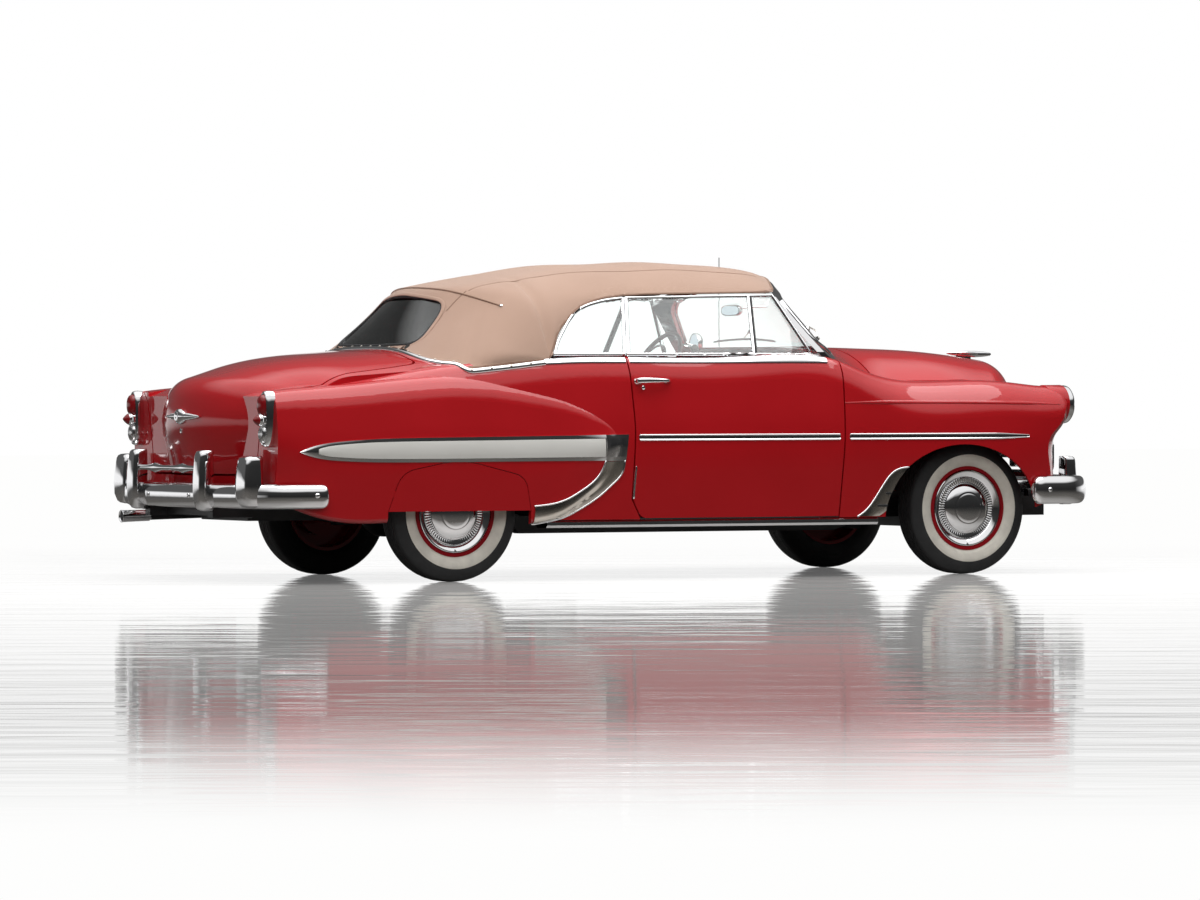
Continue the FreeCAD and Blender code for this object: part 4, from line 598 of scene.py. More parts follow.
TRIM_RING = [
    (0.0560, 0.1935), (0.0690, 0.1925), (0.0712, 0.1895), (0.0708, 0.1855), (0.0680, 0.1800),
    (0.0640, 0.1720),
    (0.0590, 0.1630), (0.0545, 0.1575), (0.0500, 0.1560), (0.0440, 0.1560),
]
RIBBED_RING = [
    (0.0440, 0.1572), (0.0515, 0.1565), (0.0535, 0.1530), (0.0525, 0.1420), (0.0500, 0.1310), (0.0450, 0.1290)
]
HUB_CAP = [
    (0.0440, 0.1305), (0.0560, 0.1300), (0.0600, 0.1275), (0.0605, 0.1245), (0.0625, 0.1225),
    (0.0690, 0.1130),
    (0.0745, 0.1000), (0.0790, 0.0850), (0.0808, 0.0780), (0.0806, 0.0755), (0.0816, 0.0735),
    (0.0836, 0.0600),
    (0.0855, 0.0420), (0.0866, 0.0250), (0.0871, 0.0100), (0.0872, 0.0),
]
for corner, axle_x, half_track in (("front", 1.651, 0.720), ("rear", -1.270, 0.746)):
    for side, hand in HANDS:
        place = "%s_%s" % (corner, hand)
        body = "wheel_" + place
        centre = (axle_x, side * half_track, TYRE_RADIUS)
        tyre("tyre_detail_" + place, "tyre_" + place, centre, side, body)
        turned("trim_ring_" + place, TRIM_RING, centre, (0, side, 0), CHROME, body, 96)
        turned(
            "ribbed_ring_" + place, RIBBED_RING, centre, (0, side, 0), CHROME, body, 216,
            ripple=lambda step, k: (0.0014 if step % 3 == 0 and 0 < k < 5 else 0.0, 0.0), sharp=25.0,
        )
        turned("hub_cap_" + place, HUB_CAP, centre, (0, side, 0), CHROME, body, 96)
        foot = Vector(centre) + Vector((0, side * 0.056, -0.178))
        turned(
            "valve_" + place,
            [(0.0, 0.0046), (0.012, 0.0044), (0.013, 0.0034), (0.024, 0.0034), (0.026, 0.0)], foot,
            (0, side, -0.35), BLACK_PAINT, body, 12,
        )

# ---------------------------------------------------------------- side trim
SIDE_LINE = [
    # across and out from the skin, from the upper edge down
    (0.0165, -0.002), (0.0165, 0.0020), (0.0145, 0.0052), (0.0115, 0.0062), (0.0085, 0.0050),
    (0.0065, 0.0026),
    (-0.0085, 0.0026), (-0.0100, 0.0044), (-0.0125, 0.0052), (-0.0150, 0.0042), (-0.0165, 0.0018),
    (-0.0165, -0.002),
]
# the black seal band on the flat valley between the two beads is a painted reflection of the dark horizon in the
# chrome
SIDE_REFLECTION_BANDS = [0, 0, 0, 0, 0, 1, 0, 0, 0, 0, 0, 0]
SPEAR_TOP = [
    (-2.144, 0.643), (-2.102, 0.662), (-2.006, 0.684), (-1.846, 0.698), (-1.631, 0.707), (-1.089, 0.713),
    (-0.506, 0.719),
]
SPEAR_LOW = [
    (-2.144, 0.641), (-2.102, 0.624), (-2.006, 0.604), (-1.846, 0.594), (-1.631, 0.590), (-1.089, 0.591),
    (-0.506, 0.593),
]
INSERT_TOP = [
    (-2.050, 0.656), (-2.006, 0.669), (-1.846, 0.683), (-1.631, 0.690), (-1.089, 0.695), (-0.512, 0.700)
]
INSERT_LOW = [
    (-2.050, 0.632), (-2.006, 0.621), (-1.846, 0.611), (-1.631, 0.607), (-1.089, 0.608), (-0.512, 0.612)
]
SHIELD_OUT = [
    (-0.393, 0.590), (-0.409, 0.526), (-0.476, 0.462), (-0.537, 0.413), (-0.631, 0.357), (-0.742, 0.308),
    (-0.896, 0.285),
]
SHIELD_IN = [
    (-0.507, 0.589), (-0.528, 0.539), (-0.570, 0.490), (-0.633, 0.448), (-0.712, 0.406), (-0.793, 0.382),
    (-0.892, 0.371),
]
GUARD_OUT = [
    (0.940, 0.304), (0.983, 0.332), (1.023, 0.377), (1.064, 0.438), (1.110, 0.503), (1.145, 0.533),
    (1.191, 0.548),
    (1.286, 0.552),
]
GUARD_IN = [
    (1.060, 0.304), (1.085, 0.318), (1.110, 0.338), (1.138, 0.370), (1.168, 0.410), (1.200, 0.450),
    (1.234, 0.496), (1.284, 0.546),
]


def strip_grid(top, low, side, count, rows):
    """Stations between an upper and a lower (x, z) line on one side."""
    upper = resample([(x, 0, z) for x, z in top], count)
    lower = resample([(x, 0, z) for x, z in low], count)
    grid = []
    for r in range(rows):
        line = []
        for a, b in zip(upper, lower):
            spot = a.lerp(b, r / (rows - 1))
            hit = side_point(spot.x, spot.z, side)
            line.append(hit if hit and abs(hit[0].y) > 0.6 else None)
        kept = [hit for hit in line if hit]
        if len(kept) < len(line):
            line = [hit or min(kept, key=lambda other: abs(other[0].x - a.x)) for hit, a in zip(line, upper)]
        grid.append(evened(line, 4))
    return grid


for side, hand in HANDS:
    stations = trace_side([(-0.370, 0.7055), (1.960, 0.7055)], side, 0.02, False)
    for body, part in by_body(stations):
        # the seal slot along the side line is the painted reflection band
        moulding(
            "side_line_%s_%s" % (hand, part[len(part) // 2][2].split("_")[0]), evened(part)[1:-1], SIDE_LINE,
            [CHROME, SEAL], body, bands=SIDE_REFLECTION_BANDS, ends=(1.0, 0.45 if part[-1][0].x > 1.9 else 1.0),
        )
    body = "car_body"
    overlay(
        "spear_" + hand, strip_grid(SPEAR_TOP, SPEAR_LOW, side, 90, 13), 0.0045, CHROME, body, crown=0.0035
    )
    overlay("spear_insert_" + hand, strip_grid(
        INSERT_TOP, INSERT_LOW, side, 90, 11
    ), 0.0075, IVORY, body, crown=0.0030)
    rib_grid = strip_grid([(-0.506, 0.700), (-0.394, 0.702)], [(-0.506, 0.612), (-0.394, 0.612)], side, 57, 5)
    for row in rib_grid:
        for c, (spot, normal) in enumerate(row):
            row[c] = (spot + normal * (0.003 if c % 4 in (1, 2) else 0.0), normal)
    overlay("spear_ribs_" + hand, rib_grid, 0.0065, CHROME, body, sharp=20.0)
    block = strip_grid([(-0.510, 0.719), (-0.372, 0.722)], [(-0.510, 0.592), (-0.388, 0.590)], side, 12, 7)
    overlay("spear_end_" + hand, block, 0.0042, CHROME, body, crown=0.001)
    overlay("stone_shield_" + hand, strip_grid(
        SHIELD_OUT, SHIELD_IN, side, 70, 9
    ), 0.004, STAINLESS, body, crown=0.004)
    for name, line in (("outer", SHIELD_OUT), ("inner", SHIELD_IN)):
        edge = lifted(evened(trace_side(line, side)), 0.003)
        moulding("shield_edge_%s_%s" % (name, hand), edge, half_round(0.009, 0.0055), CHROME, body)
    overlay("stone_guard_" + hand, strip_grid(
        GUARD_OUT, GUARD_IN, side, 60, 9
    ), 0.0045, STAINLESS, body, crown=0.004)
    outer = lifted(evened(trace_side(GUARD_OUT, side)), 0.003)
    moulding("guard_edge_" + hand, outer, half_round(0.009, 0.0055), CHROME, body)
    # the three slots are raised beads of black seal material: painted shade for the openings
    for k, (low_x, high_x, z) in enumerate(
        ((1.150, 1.196, 0.486), (1.098, 1.150, 0.419), (1.052, 1.112, 0.357))
    ):
        raised = lifted(trace_side([(low_x, z), (high_x, z)], side, 0.006, False), 0.0080)
        if len(raised) > 3:
            moulding("guard_slot_%d_%s" % (k, hand), raised, half_round(0.013, 0.0022), SEAL, body)
    guard = evened(trace_side([(-0.3275, 0.560), (-0.3345, 0.470), (-0.338, 0.395)], side, 0.01))
    if len(guard) > 3:
        moulding("door_edge_" + hand, guard, half_round(0.010, 0.003), CHROME, "door_" + hand)

# ---------------------------------------------------------------- belt band and windows
_, GLASS_NEAR = nodes_tree(["door_glass_left", "door_glass_right", "quarter_glass"])


def belt_station(x, side, lift_angle):
    """The body's shoulder under the windows, seen from above at an angle."""
    c, s = math.cos(math.radians(lift_angle)), math.sin(math.radians(lift_angle))
    back = max(0.0, -0.60 - x)
    pivot_y, pivot_z = 0.836 - 0.055 * back, 1.065 - 0.045 * back
    return SKIN(Vector((x, side * (pivot_y + 0.3 * c), pivot_z + 0.3 * s)), Vector((0, -side * c, -s)), 0.4)


def belt_band(name, side, low_x, high_x, body, nodes, high_angle=84):
    """The chrome band along the shoulder, as far as it lies on the given nodes."""
    rows, low_angle = 9, 12
    columns = []
    count = int((high_x - low_x) / 0.015)
    for c in range(count + 1):
        x = low_x + (high_x - low_x) * c / count
        angles = [low_angle + (high_angle - low_angle) * r / (rows - 1) for r in range(rows)]
        hits = [belt_station(x, side, angle) for angle in angles]
        if all(hit and hit[2] in nodes for hit in hits):
            columns.append(hits)
    if len(columns) < 4:
        return
    grid = [evened([column[r] for column in columns]) for r in range(rows)]
    overlay(name, grid, 0.0035, [CHROME, SEAL], body, crown=0.0015, slot_of=lambda r, c: 1 if r == 0 else 0)


def glass_line(points, side):
    """Stations on the side glass along an (x, z) line."""
    line = [Vector((x, side * 0.76, z)) for x, z in points]
    length = sum((b - a).length for a, b in zip(line, line[1:]))
    found = []
    for point in resample(line, max(6, int(length / 0.014))):
        spot, normal, _ = GLASS_NEAR(Vector((point.x, side * (0.848 - 0.55 * (point.z - 1.11)), point.z)))
        if normal.y * side < 0:
            normal = -normal
        spot = Vector((point.x, spot.y, point.z))
        found.append((spot, normal))
    return evened(found, 2)


for side, hand in HANDS:
    belt_band("belt_door_" + hand, side, -0.3365, 0.782, "door_" + hand, ("door_" + hand,))
    belt_band("belt_cowl_" + hand, side, 0.786, 0.860, "car_body", ("cowl", "front_fender_" + hand))
    belt_band(
        "belt_quarter_" + hand, side, -0.800, -0.343, "car_body", ("quarter_panel_" + hand, "rear_deck"),
        high_angle=76
    )
    door = "door_" + hand
    frames = (
        ("door_frame_rear", [(-0.324, 1.120), (-0.256, 1.402)], 0.018, 0.007, door, CHROME),
        ("door_frame_top", [(-0.258, 1.4015), (0.585, 1.4185)], 0.012, 0.006, door, CHROME),
        ("vent_divider", [(0.389, 1.120), (0.440, 1.412)], 0.016, 0.008, door, CHROME),
        ("vent_seal", [(0.404, 1.120), (0.454, 1.410)], 0.010, 0.005, door, SEAL),
        ("vent_frame_front", [(0.735, 1.122), (0.586, 1.414)], 0.014, 0.007, door, CHROME),
        ("door_glass_foot", [(-0.330, 1.1185), (0.745, 1.1185)], 0.016, 0.010, door, CHROME),
        ("quarter_frame_front", [(-0.348, 1.120), (-0.276, 1.399)], 0.014, 0.007, "car_body", CHROME),
        ("quarter_frame_top", [(
            -0.282, 1.399
        ), (-0.390, 1.386), (-0.505, 1.356), (-0.585, 1.310), (-0.650, 1.240),
                               (-0.700, 1.180), (-0.733, 1.122)], 0.015, 0.007, "car_body", CHROME),
        ("quarter_glass_foot", [(-0.742, 1.1185), (-0.350, 1.1185)], 0.016, 0.010, "car_body", CHROME),
    )
    for name, line, width, height, body, material in frames:
        moulding("%s_%s" % (name, hand), glass_line(line, side), half_round(
            width, height, 0.0055
        ), material, body, sharp=30.0)

# ---------------------------------------------------------------- door handles
for side, hand in HANDS:
    hit = side_point(-0.226, 0.984, side)
    spot, out = hit[0], hit[1]
    along = Vector(AHEAD)
    up = Vector(UP) - out * out.z
    up.normalize()
    rings = []
    for share, lift, half_up, half_out in (
        (0.0, 0.010, 0.010, 0.006), (0.04, 0.026, 0.0125, 0.008), (0.12, 0.034, 0.0135, 0.009),
        (0.3, 0.038, 0.013, 0.0085),
        (0.6, 0.036, 0.011, 0.007), (0.85, 0.028, 0.0085, 0.006), (0.97, 0.018, 0.007, 0.005),
        (1.0, 0.008, 0.005, 0.004),
    ):
        centre = spot + along * (-0.098 + 0.196 * share) + out * (lift - 0.004)
        rings.append(oval(centre, up, out, half_up, half_out, 2.4, 16))
    lofted("door_handle_" + hand, rings, CHROME, "door_" + hand)
    for name, shift, half in (("rear", -0.082, 0.022), ("front", 0.078, 0.015)):
        base = side_point(-0.226 + shift, 0.984, side)
        plinth = [
            oval(base[0] + base[1] * lift, along, up, half * grow, 0.75 * half * grow, 2.2, 20)
            for lift, grow in ((-0.002, 1.0), (0.005, 0.98), (0.009, 0.8), (0.022, 0.42))
        ]
        lofted("handle_foot_%s_%s" % (name, hand), plinth, CHROME, "door_" + hand)
    lock = side_point(-0.279, 0.952, side)
    turned(
        "door_lock_" + hand, [(-0.002, 0.010), (0.004, 0.0098), (0.006, 0.008), (0.005, 0.003), (0.005, 0.0)],
        lock[0], lock[1],
        CHROME, "door_" + hand, 20,
    )

# ---------------------------------------------------------------- cloth top
TOP_HIT, _ = nodes_tree(["soft_top", "rear_window"])
FOLD_X, FOLD_Z = -0.765, 1.085
COLUMNS, ROOF_ROWS, REAR_ROWS = 121, 76, 64
WIDEST = math.radians(89.0)
BOWS = (0.62, 0.10, -0.42, -0.93)
WINDOW_TOP, WINDOW_LOW = (0.392, 1.392), (0.470, 1.166)


def top_direction(psi, phi):
    return Vector((-math.sin(phi) * math.cos(psi), math.sin(psi), math.cos(phi) * math.cos(psi)))


def top_radius(x, psi, phi=0.0):
    """How far the raised top's skin is from the fold line, in one direction."""
    origin, direction = Vector((x, 0, FOLD_Z)), top_direction(psi, phi)
    hit = TOP_HIT(origin + direction * 1.5, -direction, 1.2)
    return (hit[0] - origin).length if hit else None


def last_hit(test, low, high, steps=14):
    """The furthest value between a hit and a miss that still hits."""
    for _ in range(steps):
        middle = (low + high) / 2
        if test(middle) is None:
            high = middle
        else:
            low = middle
    return low


def widest_angle(x):
    """How far the cloth reaches down the side at one station, as an angle from upright."""
    angle = math.radians(40)
    while angle < WIDEST and top_radius(x, angle) is not None:
        angle += math.radians(1)
    return min(WIDEST, last_hit(lambda a: top_radius(x, a), angle - math.radians(1), angle))


def lowest_fan(psi):
    """How far the cloth reaches down behind the fold line, as an angle from upright."""
    phi, misses, last = 0.0, 0, 0.0
    while phi < math.radians(125) and misses < 4:
        if top_radius(FOLD_X, psi, phi) is None:
            misses += 1
        else:
            misses, last = 0, phi
        phi += math.radians(1)
    return last_hit(lambda a: top_radius(FOLD_X, psi, a), last, last + math.radians(1))


def canopy_grid():
    """Cells (x, psi, phi, radius): rows back along the roof, then a fan of rows down the rear."""
    shares = [2 * c / (COLUMNS - 1) - 1 for c in range(COLUMNS)]
    reach, steps = 0.55, 60
    scan = [FOLD_X + (reach - FOLD_X) * k / steps for k in range(steps + 1)]
    angles = [widest_angle(x) for x in scan]

    def angle_at(x):
        place = (min(max(x, FOLD_X), reach) - FOLD_X) / (reach - FOLD_X) * steps
        k = min(steps - 1, int(place))
        return angles[k] + (angles[k + 1] - angles[k]) * (place - k)

    rows = []
    fronts = [last_hit(lambda x: top_radius(x, share * angle_at(x)), 0.45, 0.85) for share in shares]
    for r in range(ROOF_ROWS):
        part = r / (ROOF_ROWS - 1)
        row = []
        for share, front in zip(shares, fronts):
            x = front + (FOLD_X - front) * part
            psi = share * angle_at(x)
            row.append((x, psi, 0.0, top_radius(x, psi)))
        rows.append(row)
    ends = [lowest_fan(share * angle_at(FOLD_X)) for share in shares]
    for r in range(1, REAR_ROWS + 1):
        row = []
        for share, end in zip(shares, ends):
            psi, phi = share * angle_at(FOLD_X), end * r / REAR_ROWS
            row.append((FOLD_X, psi, phi, top_radius(FOLD_X, psi, phi)))
        rows.append(row)
    return rows


def filled(rows):
    """Give the few cells where the line missed the mean of their neighbours."""
    for r, row in enumerate(rows):
        for c, (x, psi, phi, radius) in enumerate(row):
            if radius is None:
                near = [
                    rows[i][j][3]
                    for i in range(max(0, r - 2), min(len(rows), r + 3))
                    for j in range(max(0, c - 2), min(len(row), c + 3))
                    if rows[i][j][3] is not None
                ]
                row[c] = (x, psi, phi, sum(near) / len(near))
    return rows


def eased(rows, passes):
    """Smooth the radii over their neighbours."""
    for _ in range(passes):
        radii = [[cell[3] for cell in row] for row in rows]
        for r in range(1, len(rows) - 1):
            for c in range(1, COLUMNS - 1):
                mean = (radii[r - 1][c] + radii[r + 1][c] + radii[r][c - 1] + radii[r][c + 1]) / 4
                x, psi, phi, _ = rows[r][c]
                rows[r][c] = (x, psi, phi, 0.4 * radii[r][c] + 0.6 * mean)
    return rows


def slack(spot, share):
    """How far the cloth sinks between its bows, less towards its tight side edges."""
    edge = 1 - abs(share) ** 5
    for front, back in zip(BOWS, BOWS[1:]):
        if back <= spot.x <= front:
            part = (front - spot.x) / (front - back)
            return 0.0075 * edge * math.sin(math.pi * part) ** 2
    return 0.0


def canopy_points():
    rows = eased(filled(canopy_grid()), 24)
    grid = []
    for r, row in enumerate(rows):
        line = []
        for c, (x, psi, phi, radius) in enumerate(row):
            direction = top_direction(psi, phi)
            spot = Vector((x, 0, FOLD_Z)) + direction * radius
            inner = 0 < r < len(rows) - 1 and 0 < c < COLUMNS - 1
            if inner:
                ripple = noise.noise(Vector((spot.x * 2.2, spot.y * 5.0, spot.z * 4.0))) * 0.0016
                radius += ripple - slack(spot, 2 * c / (COLUMNS - 1) - 1)
            line.append(Vector((x, 0, FOLD_Z)) + direction * (radius + 0.0010))
        grid.append(line)
    return grid


def window_outline():
    """The rear window's rounded outline as (y, z), from one lower corner round."""
    (half_top, high), (half_low, low) = WINDOW_TOP, WINDOW_LOW
    corner, bow = 0.075, 0.012
    corners = [(half_low, low), (half_top, high), (-half_top, high), (-half_low, low)]
    outline = []
    for k, spot in enumerate(corners):
        before, after = Vector(corners[k - 1]), Vector(corners[(k + 1) % 4])
        here = Vector(spot)
        start = here + (before - here).normalized() * corner
        end = here + (after - here).normalized() * corner
        for step in range(9):
            t = step / 8
            point = start * (1 - t) ** 2 + here * 2 * t * (1 - t) + end * t * t
            rise = bow * (1 - (point.x / half_low) ** 2)
            outline.append((point.x, point.y + (rise if point.y > 1.28 else -rise)))
    return outline


def inside(outline, y, z):
    found = False
    for (ay, az), (by, bz) in zip(outline, outline[1:] + outline[:1]):
        if (az > z) != (bz > z) and y < (by - ay) * (z - az) / (bz - az) + ay:
            found = not found
    return found


def rear_guess(y, z):
    """Roughly where the cloth's slanting rear is, for a point of the window's outline."""
    return Vector((-1.155 - 0.86 * (1.392 - z) + 0.18 * y * y, y, z))


def cell_corners(r, c):
    return (r * COLUMNS + c, r * COLUMNS + c + 1, (r + 1) * COLUMNS + c + 1, (r + 1) * COLUMNS + c)


def fit_window_rim(points, faces, outline, uncut):
    """Move the ragged rim of the window's hole onto the outline."""
    dense = []
    for (ay, az), (by, bz) in zip(outline, outline[1:] + outline[:1]):
        dense += [(ay + (by - ay) * k / 8, az + (bz - az) * k / 8) for k in range(8)]
    used = {}
    for corners in faces:
        for a, b in zip(corners, corners[1:] + corners[:1]):
            edge = (min(a, b), max(a, b))
            used[edge] = used.get(edge, 0) + 1
    for edge in [edge for edge, count in used.items() if count == 1]:
        for k in edge:
            p = points[k]
            if p.x < -1.0 and abs(p.y) < 0.56 and 1.13 < p.z < 1.43:
                y, z = min(dense, key=lambda q: (q[0] - p.y) ** 2 + (q[1] - p.z) ** 2)
                points[k] = uncut.find_nearest(rear_guess(y, z))[0]


def add_inner_skin(work, thickness=0.004):
    """Give the cloth a lining and a turned rim."""
    outer = work.faces[:]
    rims = [loop for face in outer for loop in face.loops if len(loop.edge.link_faces) == 1]
    rims = [(loop.vert, loop.link_loop_next.vert) for loop in rims]
    inner = {vertex: work.verts.new(vertex.co - vertex.normal * thickness) for vertex in work.verts[:]}
    for face in outer:
        lining = work.faces.new([inner[vertex] for vertex in reversed(face.verts)])
        lining.material_index = 1
    for start, end in rims:
        work.faces.new((end, start, inner[start], inner[end]))


def make_canopy():
    """The stretched cloth over the solid top, open at the rear window."""
    grid = canopy_points()
    points = [point for line in grid for point in line]
    rear = [cell_corners(r, c) for r in range(ROOF_ROWS - 1, len(grid) - 1) for c in range(COLUMNS - 1)]
    uncut = BVHTree.FromPolygons(points, rear)
    outline = window_outline()
    faces = []
    for r in range(len(grid) - 1):
        for c in range(COLUMNS - 1):
            corners = cell_corners(r, c)
            middle = sum((points[k] for k in corners), Vector()) / 4
            if not (middle.x < -1.0 and inside(outline, middle.y, middle.z)):
                faces.append(corners)
    fit_window_rim(points, faces, outline, uncut)
    mesh = bpy.data.meshes.new("canopy_skin")
    mesh.from_pydata([tuple(point) for point in points], [], faces)
    work = bmesh.new()
    work.from_mesh(mesh)
    bmesh.ops.remove_doubles(work, verts=work.verts, dist=2e-5)
    loose = [vertex for vertex in work.verts if not vertex.link_faces]
    bmesh.ops.delete(work, geom=loose, context="VERTS")
    bmesh.ops.recalc_face_normals(work, faces=work.faces)
    highest = max(work.faces, key=lambda face: face.calc_center_median().z)
    if highest.normal.z < 0:
        bmesh.ops.reverse_faces(work, faces=work.faces)
    skin = bpy.data.meshes.new("canopy_tree")
    work.to_mesh(skin)
    area = sum(face.calc_area() for face in work.faces)
    work.normal_update()
    add_inner_skin(work)
    work.to_mesh(mesh)
    work.free()
    mesh.materials.append(CANVAS)
    mesh.materials.append(LINING)
    mesh.shade_smooth()
    mesh.set_sharp_from_angle(angle=math.radians(50))
    shown = bpy.data.objects.new("canopy", mesh)
    bpy.context.scene.collection.objects.link(shown)
    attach(shown, BODY_OF["soft_top"])
    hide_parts("soft_top")
    return shown, grid, skin, area, uncut


canopy, CANOPY_GRID, CANOPY_SKIN, CANOPY_AREA, UNCUT = make_canopy()
CANOPY, CANOPY_NEAR = tree_of([("canopy", CANOPY_SKIN)])
TOP_BODY = BODY_OF["soft_top"]


def canopy_line(points, step=0.015, smooth=True):
    """Stations on the cloth under an (x, y) line."""
    line = [Vector((x, y, 0)) for x, y in points]
    length = sum((b - a).length for a, b in zip(line, line[1:]))
    hits = [CANOPY(
        Vector((p.x, p.y, 2.0)), Vector(DOWN), 1.0
    ) for p in resample(line, int(length / step), smooth=smooth)]
    return evened([hit for hit in hits if hit])


for side, hand in HANDS:
    seam = canopy_line([(0.60, side * 0.455), (-0.40, side * 0.445), (-1.00, side * 0.42)])
    moulding("top_seam_" + hand, seam, half_round(0.009, 0.0016, 0.001), BINDING, TOP_BODY)
    tail = []
    start, end = Vector((-1.03, side * 0.425, 1.46)), Vector((-1.16, side * 0.440, 1.375))
    for k in range(16):
        spot, normal, _ = CANOPY_NEAR(start.lerp(end, k / 15))
        tail.append((spot, normal if normal.z > 0 else -normal))
    moulding("top_seam_rear_" + hand, evened(tail), half_round(0.009, 0.0016, 0.001), BINDING, TOP_BODY)

welt = []
for k in range(91):
    y = -0.62 + 1.24 * k / 90
    guess = Vector((-1.120 + 0.200 * (y / 0.62) ** 2, y, 1.465 - 0.110 * (y / 0.62) ** 2))
    spot, normal, _ = CANOPY_NEAR(guess)
    out = (spot - Vector((-0.6, 0, 1.1))).normalized()
    welt.append((spot, normal if normal.dot(out) > 0 else -normal))
welt = evened(welt, 6)
moulding("top_welt", welt, half_round(0.011, 0.006, 0.002, 9), BINDING, TOP_BODY)
for end, hand in ((welt[0], "right"), (welt[-1], "left")):
    turned(
        "welt_tip_" + hand, [(-0.004, 0.0), (-0.001, 0.009), (0.005, 0.0085), (0.0085, 0.005), (0.0095, 0.0)],
        end[0], end[1],
        CHROME, TOP_BODY, 20,
    )


def edge_line(cells):
    """Stations along an edge of the cloth, each with the cloth's outward normal."""
    found = []
    for spot in cells:
        _, normal, _ = CANOPY_NEAR(spot)
        out = (spot - Vector((spot.x * 0.7, 0, 1.0))).normalized()
        found.append((spot, normal if normal.dot(out) > 0 else -normal))
    return found


front_edge = evened(edge_line(CANOPY_GRID[0]))
moulding("top_front_binding", front_edge, half_round(0.016, 0.003, 0.004), BINDING, TOP_BODY)
for column, hand in ((0, "right"), (COLUMNS - 1, "left")):
    side_edge = evened(edge_line([CANOPY_GRID[r][column] for r in range(ROOF_ROWS)]))
    moulding("top_side_binding_" + hand, side_edge, half_round(0.012, 0.0022, 0.004), BINDING, TOP_BODY)
hem = evened(edge_line(CANOPY_GRID[-1][1:-1]), 4)
moulding("top_hem", hem, half_round(0.014, 0.0022, 0.004), BINDING, TOP_BODY)


def rear_spot(y, z):
    """The nearest place on the cloth to a point of the rear window's outline, with the outward normal."""
    spot, normal, _, _ = UNCUT.find_nearest(rear_guess(y, z))
    return spot, normal if normal.x < 0 else -normal


window_line = resample([(y, z, 0) for y, z in window_outline()], 170, True, False)
rim = [rear_spot(point.x, point.y) for point in window_line]
for _ in range(4):
    rim = [
        ((before[0] + 2 * here[0] + after[0]) / 4, (before[1] + 2 * here[1] + after[1]).normalized())
        for before, here, after in zip(rim[-1:] + rim[:-1], rim, rim[1:] + rim[:1])
    ]
moulding("rear_window_seal", rim, half_round(0.016, 0.0055, 0.006), SEAL, TOP_BODY, closed=True)
WINDOW_MIDDLE_Z = 1.28
outer_rim = [(
    spot + (spot - Vector((spot.x, 0, WINDOW_MIDDLE_Z))).normalized() * 0.014, normal
) for spot, normal in rim]
moulding(
    "rear_window_binding", outer_rim, half_round(0.020, 0.0022, 0.003), CANVAS, TOP_BODY, closed=True
)

# ---------------------------------------------------------------- bumpers
def rounded_route(points):
    """A plan path through (x, y) corners, each corner eased by a curve."""
    ease, steps = 0.171, 14
    route = [Vector((*points[0], 0))]
    for before, here, after in zip(points, points[1:], points[2:]):
        a, b, c = Vector((*before, 0)), Vector((*here, 0)), Vector((*after, 0))
        cut = min(0.45 * (a - b).length, 0.45 * (c - b).length, ease)
        start, end = b + (a - b).normalized() * cut, b + (c - b).normalized() * cut
        route += [start * (1 - t) ** 2 + b * 2 * t * (1 - t) + end * t * t for t in (
            k / steps for k in range(steps + 1)
        )]
    route.append(Vector((*points[-1], 0)))
    return route


def bumper_bar(name, half_path, low, high, facing):
    """A deep bulged chrome bar that wraps round both corners, with rounded ends."""
    points = [(x, -y) for x, y in reversed(half_path[1:])] + half_path
    route = resample(rounded_route(points), 190, smooth=False)
    middle, half = (low + high) / 2, (high - low) / 2
    size = 26
    rings = []
    total = sum((b - a).length for a, b in zip(route, route[1:]))
    done = 0.0
    for i, spot in enumerate(route):
        if i:
            done += (spot - route[i - 1]).length
        along = (route[min(i + 1, len(route) - 1)] - route[max(i - 1, 0)]).normalized()
        out = Vector(UP).cross(along)
        if out.x * facing < 0 and abs(spot.y) < 0.7 or out.dot(Vector((spot.x * 0.2, spot.y, 0))) < 0:
            out = -out
        from_end = min(done, total - done)
        grow = math.sqrt(max(0.0, 1 - (1 - min(1.0, from_end / 0.045)) ** 2)) if from_end < 0.045 else 1.0
        tall, deep = 0.35 + 0.65 * grow, 0.18 + 0.82 * grow
        ring = []
        for k in range(size):
            turn = math.pi * (k / (size - 1) - 0.5)
            rise = math.copysign(abs(math.sin(turn)) ** 0.92, math.sin(turn)) * half * tall
            push = -0.014 + 0.046 * deep * abs(math.cos(turn)) ** 0.75
            ring.append(spot + out * push + Vector((0, 0, middle + rise)))
        for k in range(1, 5):
            share = k / 5
            ring.append(spot + out * -0.020 + Vector((0, 0, middle + half * tall * (0.9 - 1.8 * share))))
        rings.append(ring)
    return lofted(name, rings, CHROME, "car_body", sharp=50.0)


def bumper_guard(name, x, y, half_width, depth, low, high, facing, flat=3.2):
    """An upright guard with a flat top, rounded over its edges."""
    rings = []
    for up, wide, deep in (
        (0.0, 0.55, 0.45), (0.02, 0.76, 0.68), (0.06, 0.88, 0.82), (0.20, 0.98, 0.97), (0.42, 1.0, 1.0),
        (0.62, 0.97, 0.97),
        (0.80, 0.93, 0.91), (0.91, 0.90, 0.86), (0.965, 0.84, 0.78), (0.99, 0.72, 0.66), (1.0, 0.5, 0.45),
    ):
        centre = Vector((x + facing * 0.5 * depth * deep, y, low + up * (high - low)))
        rings.append(
            oval(centre, ACROSS, AHEAD, half_width * wide, 0.5 * depth * deep + 0.008, flat, 36)
        )
    return lofted(name, rings, CHROME, "car_body", sharp=60.0)


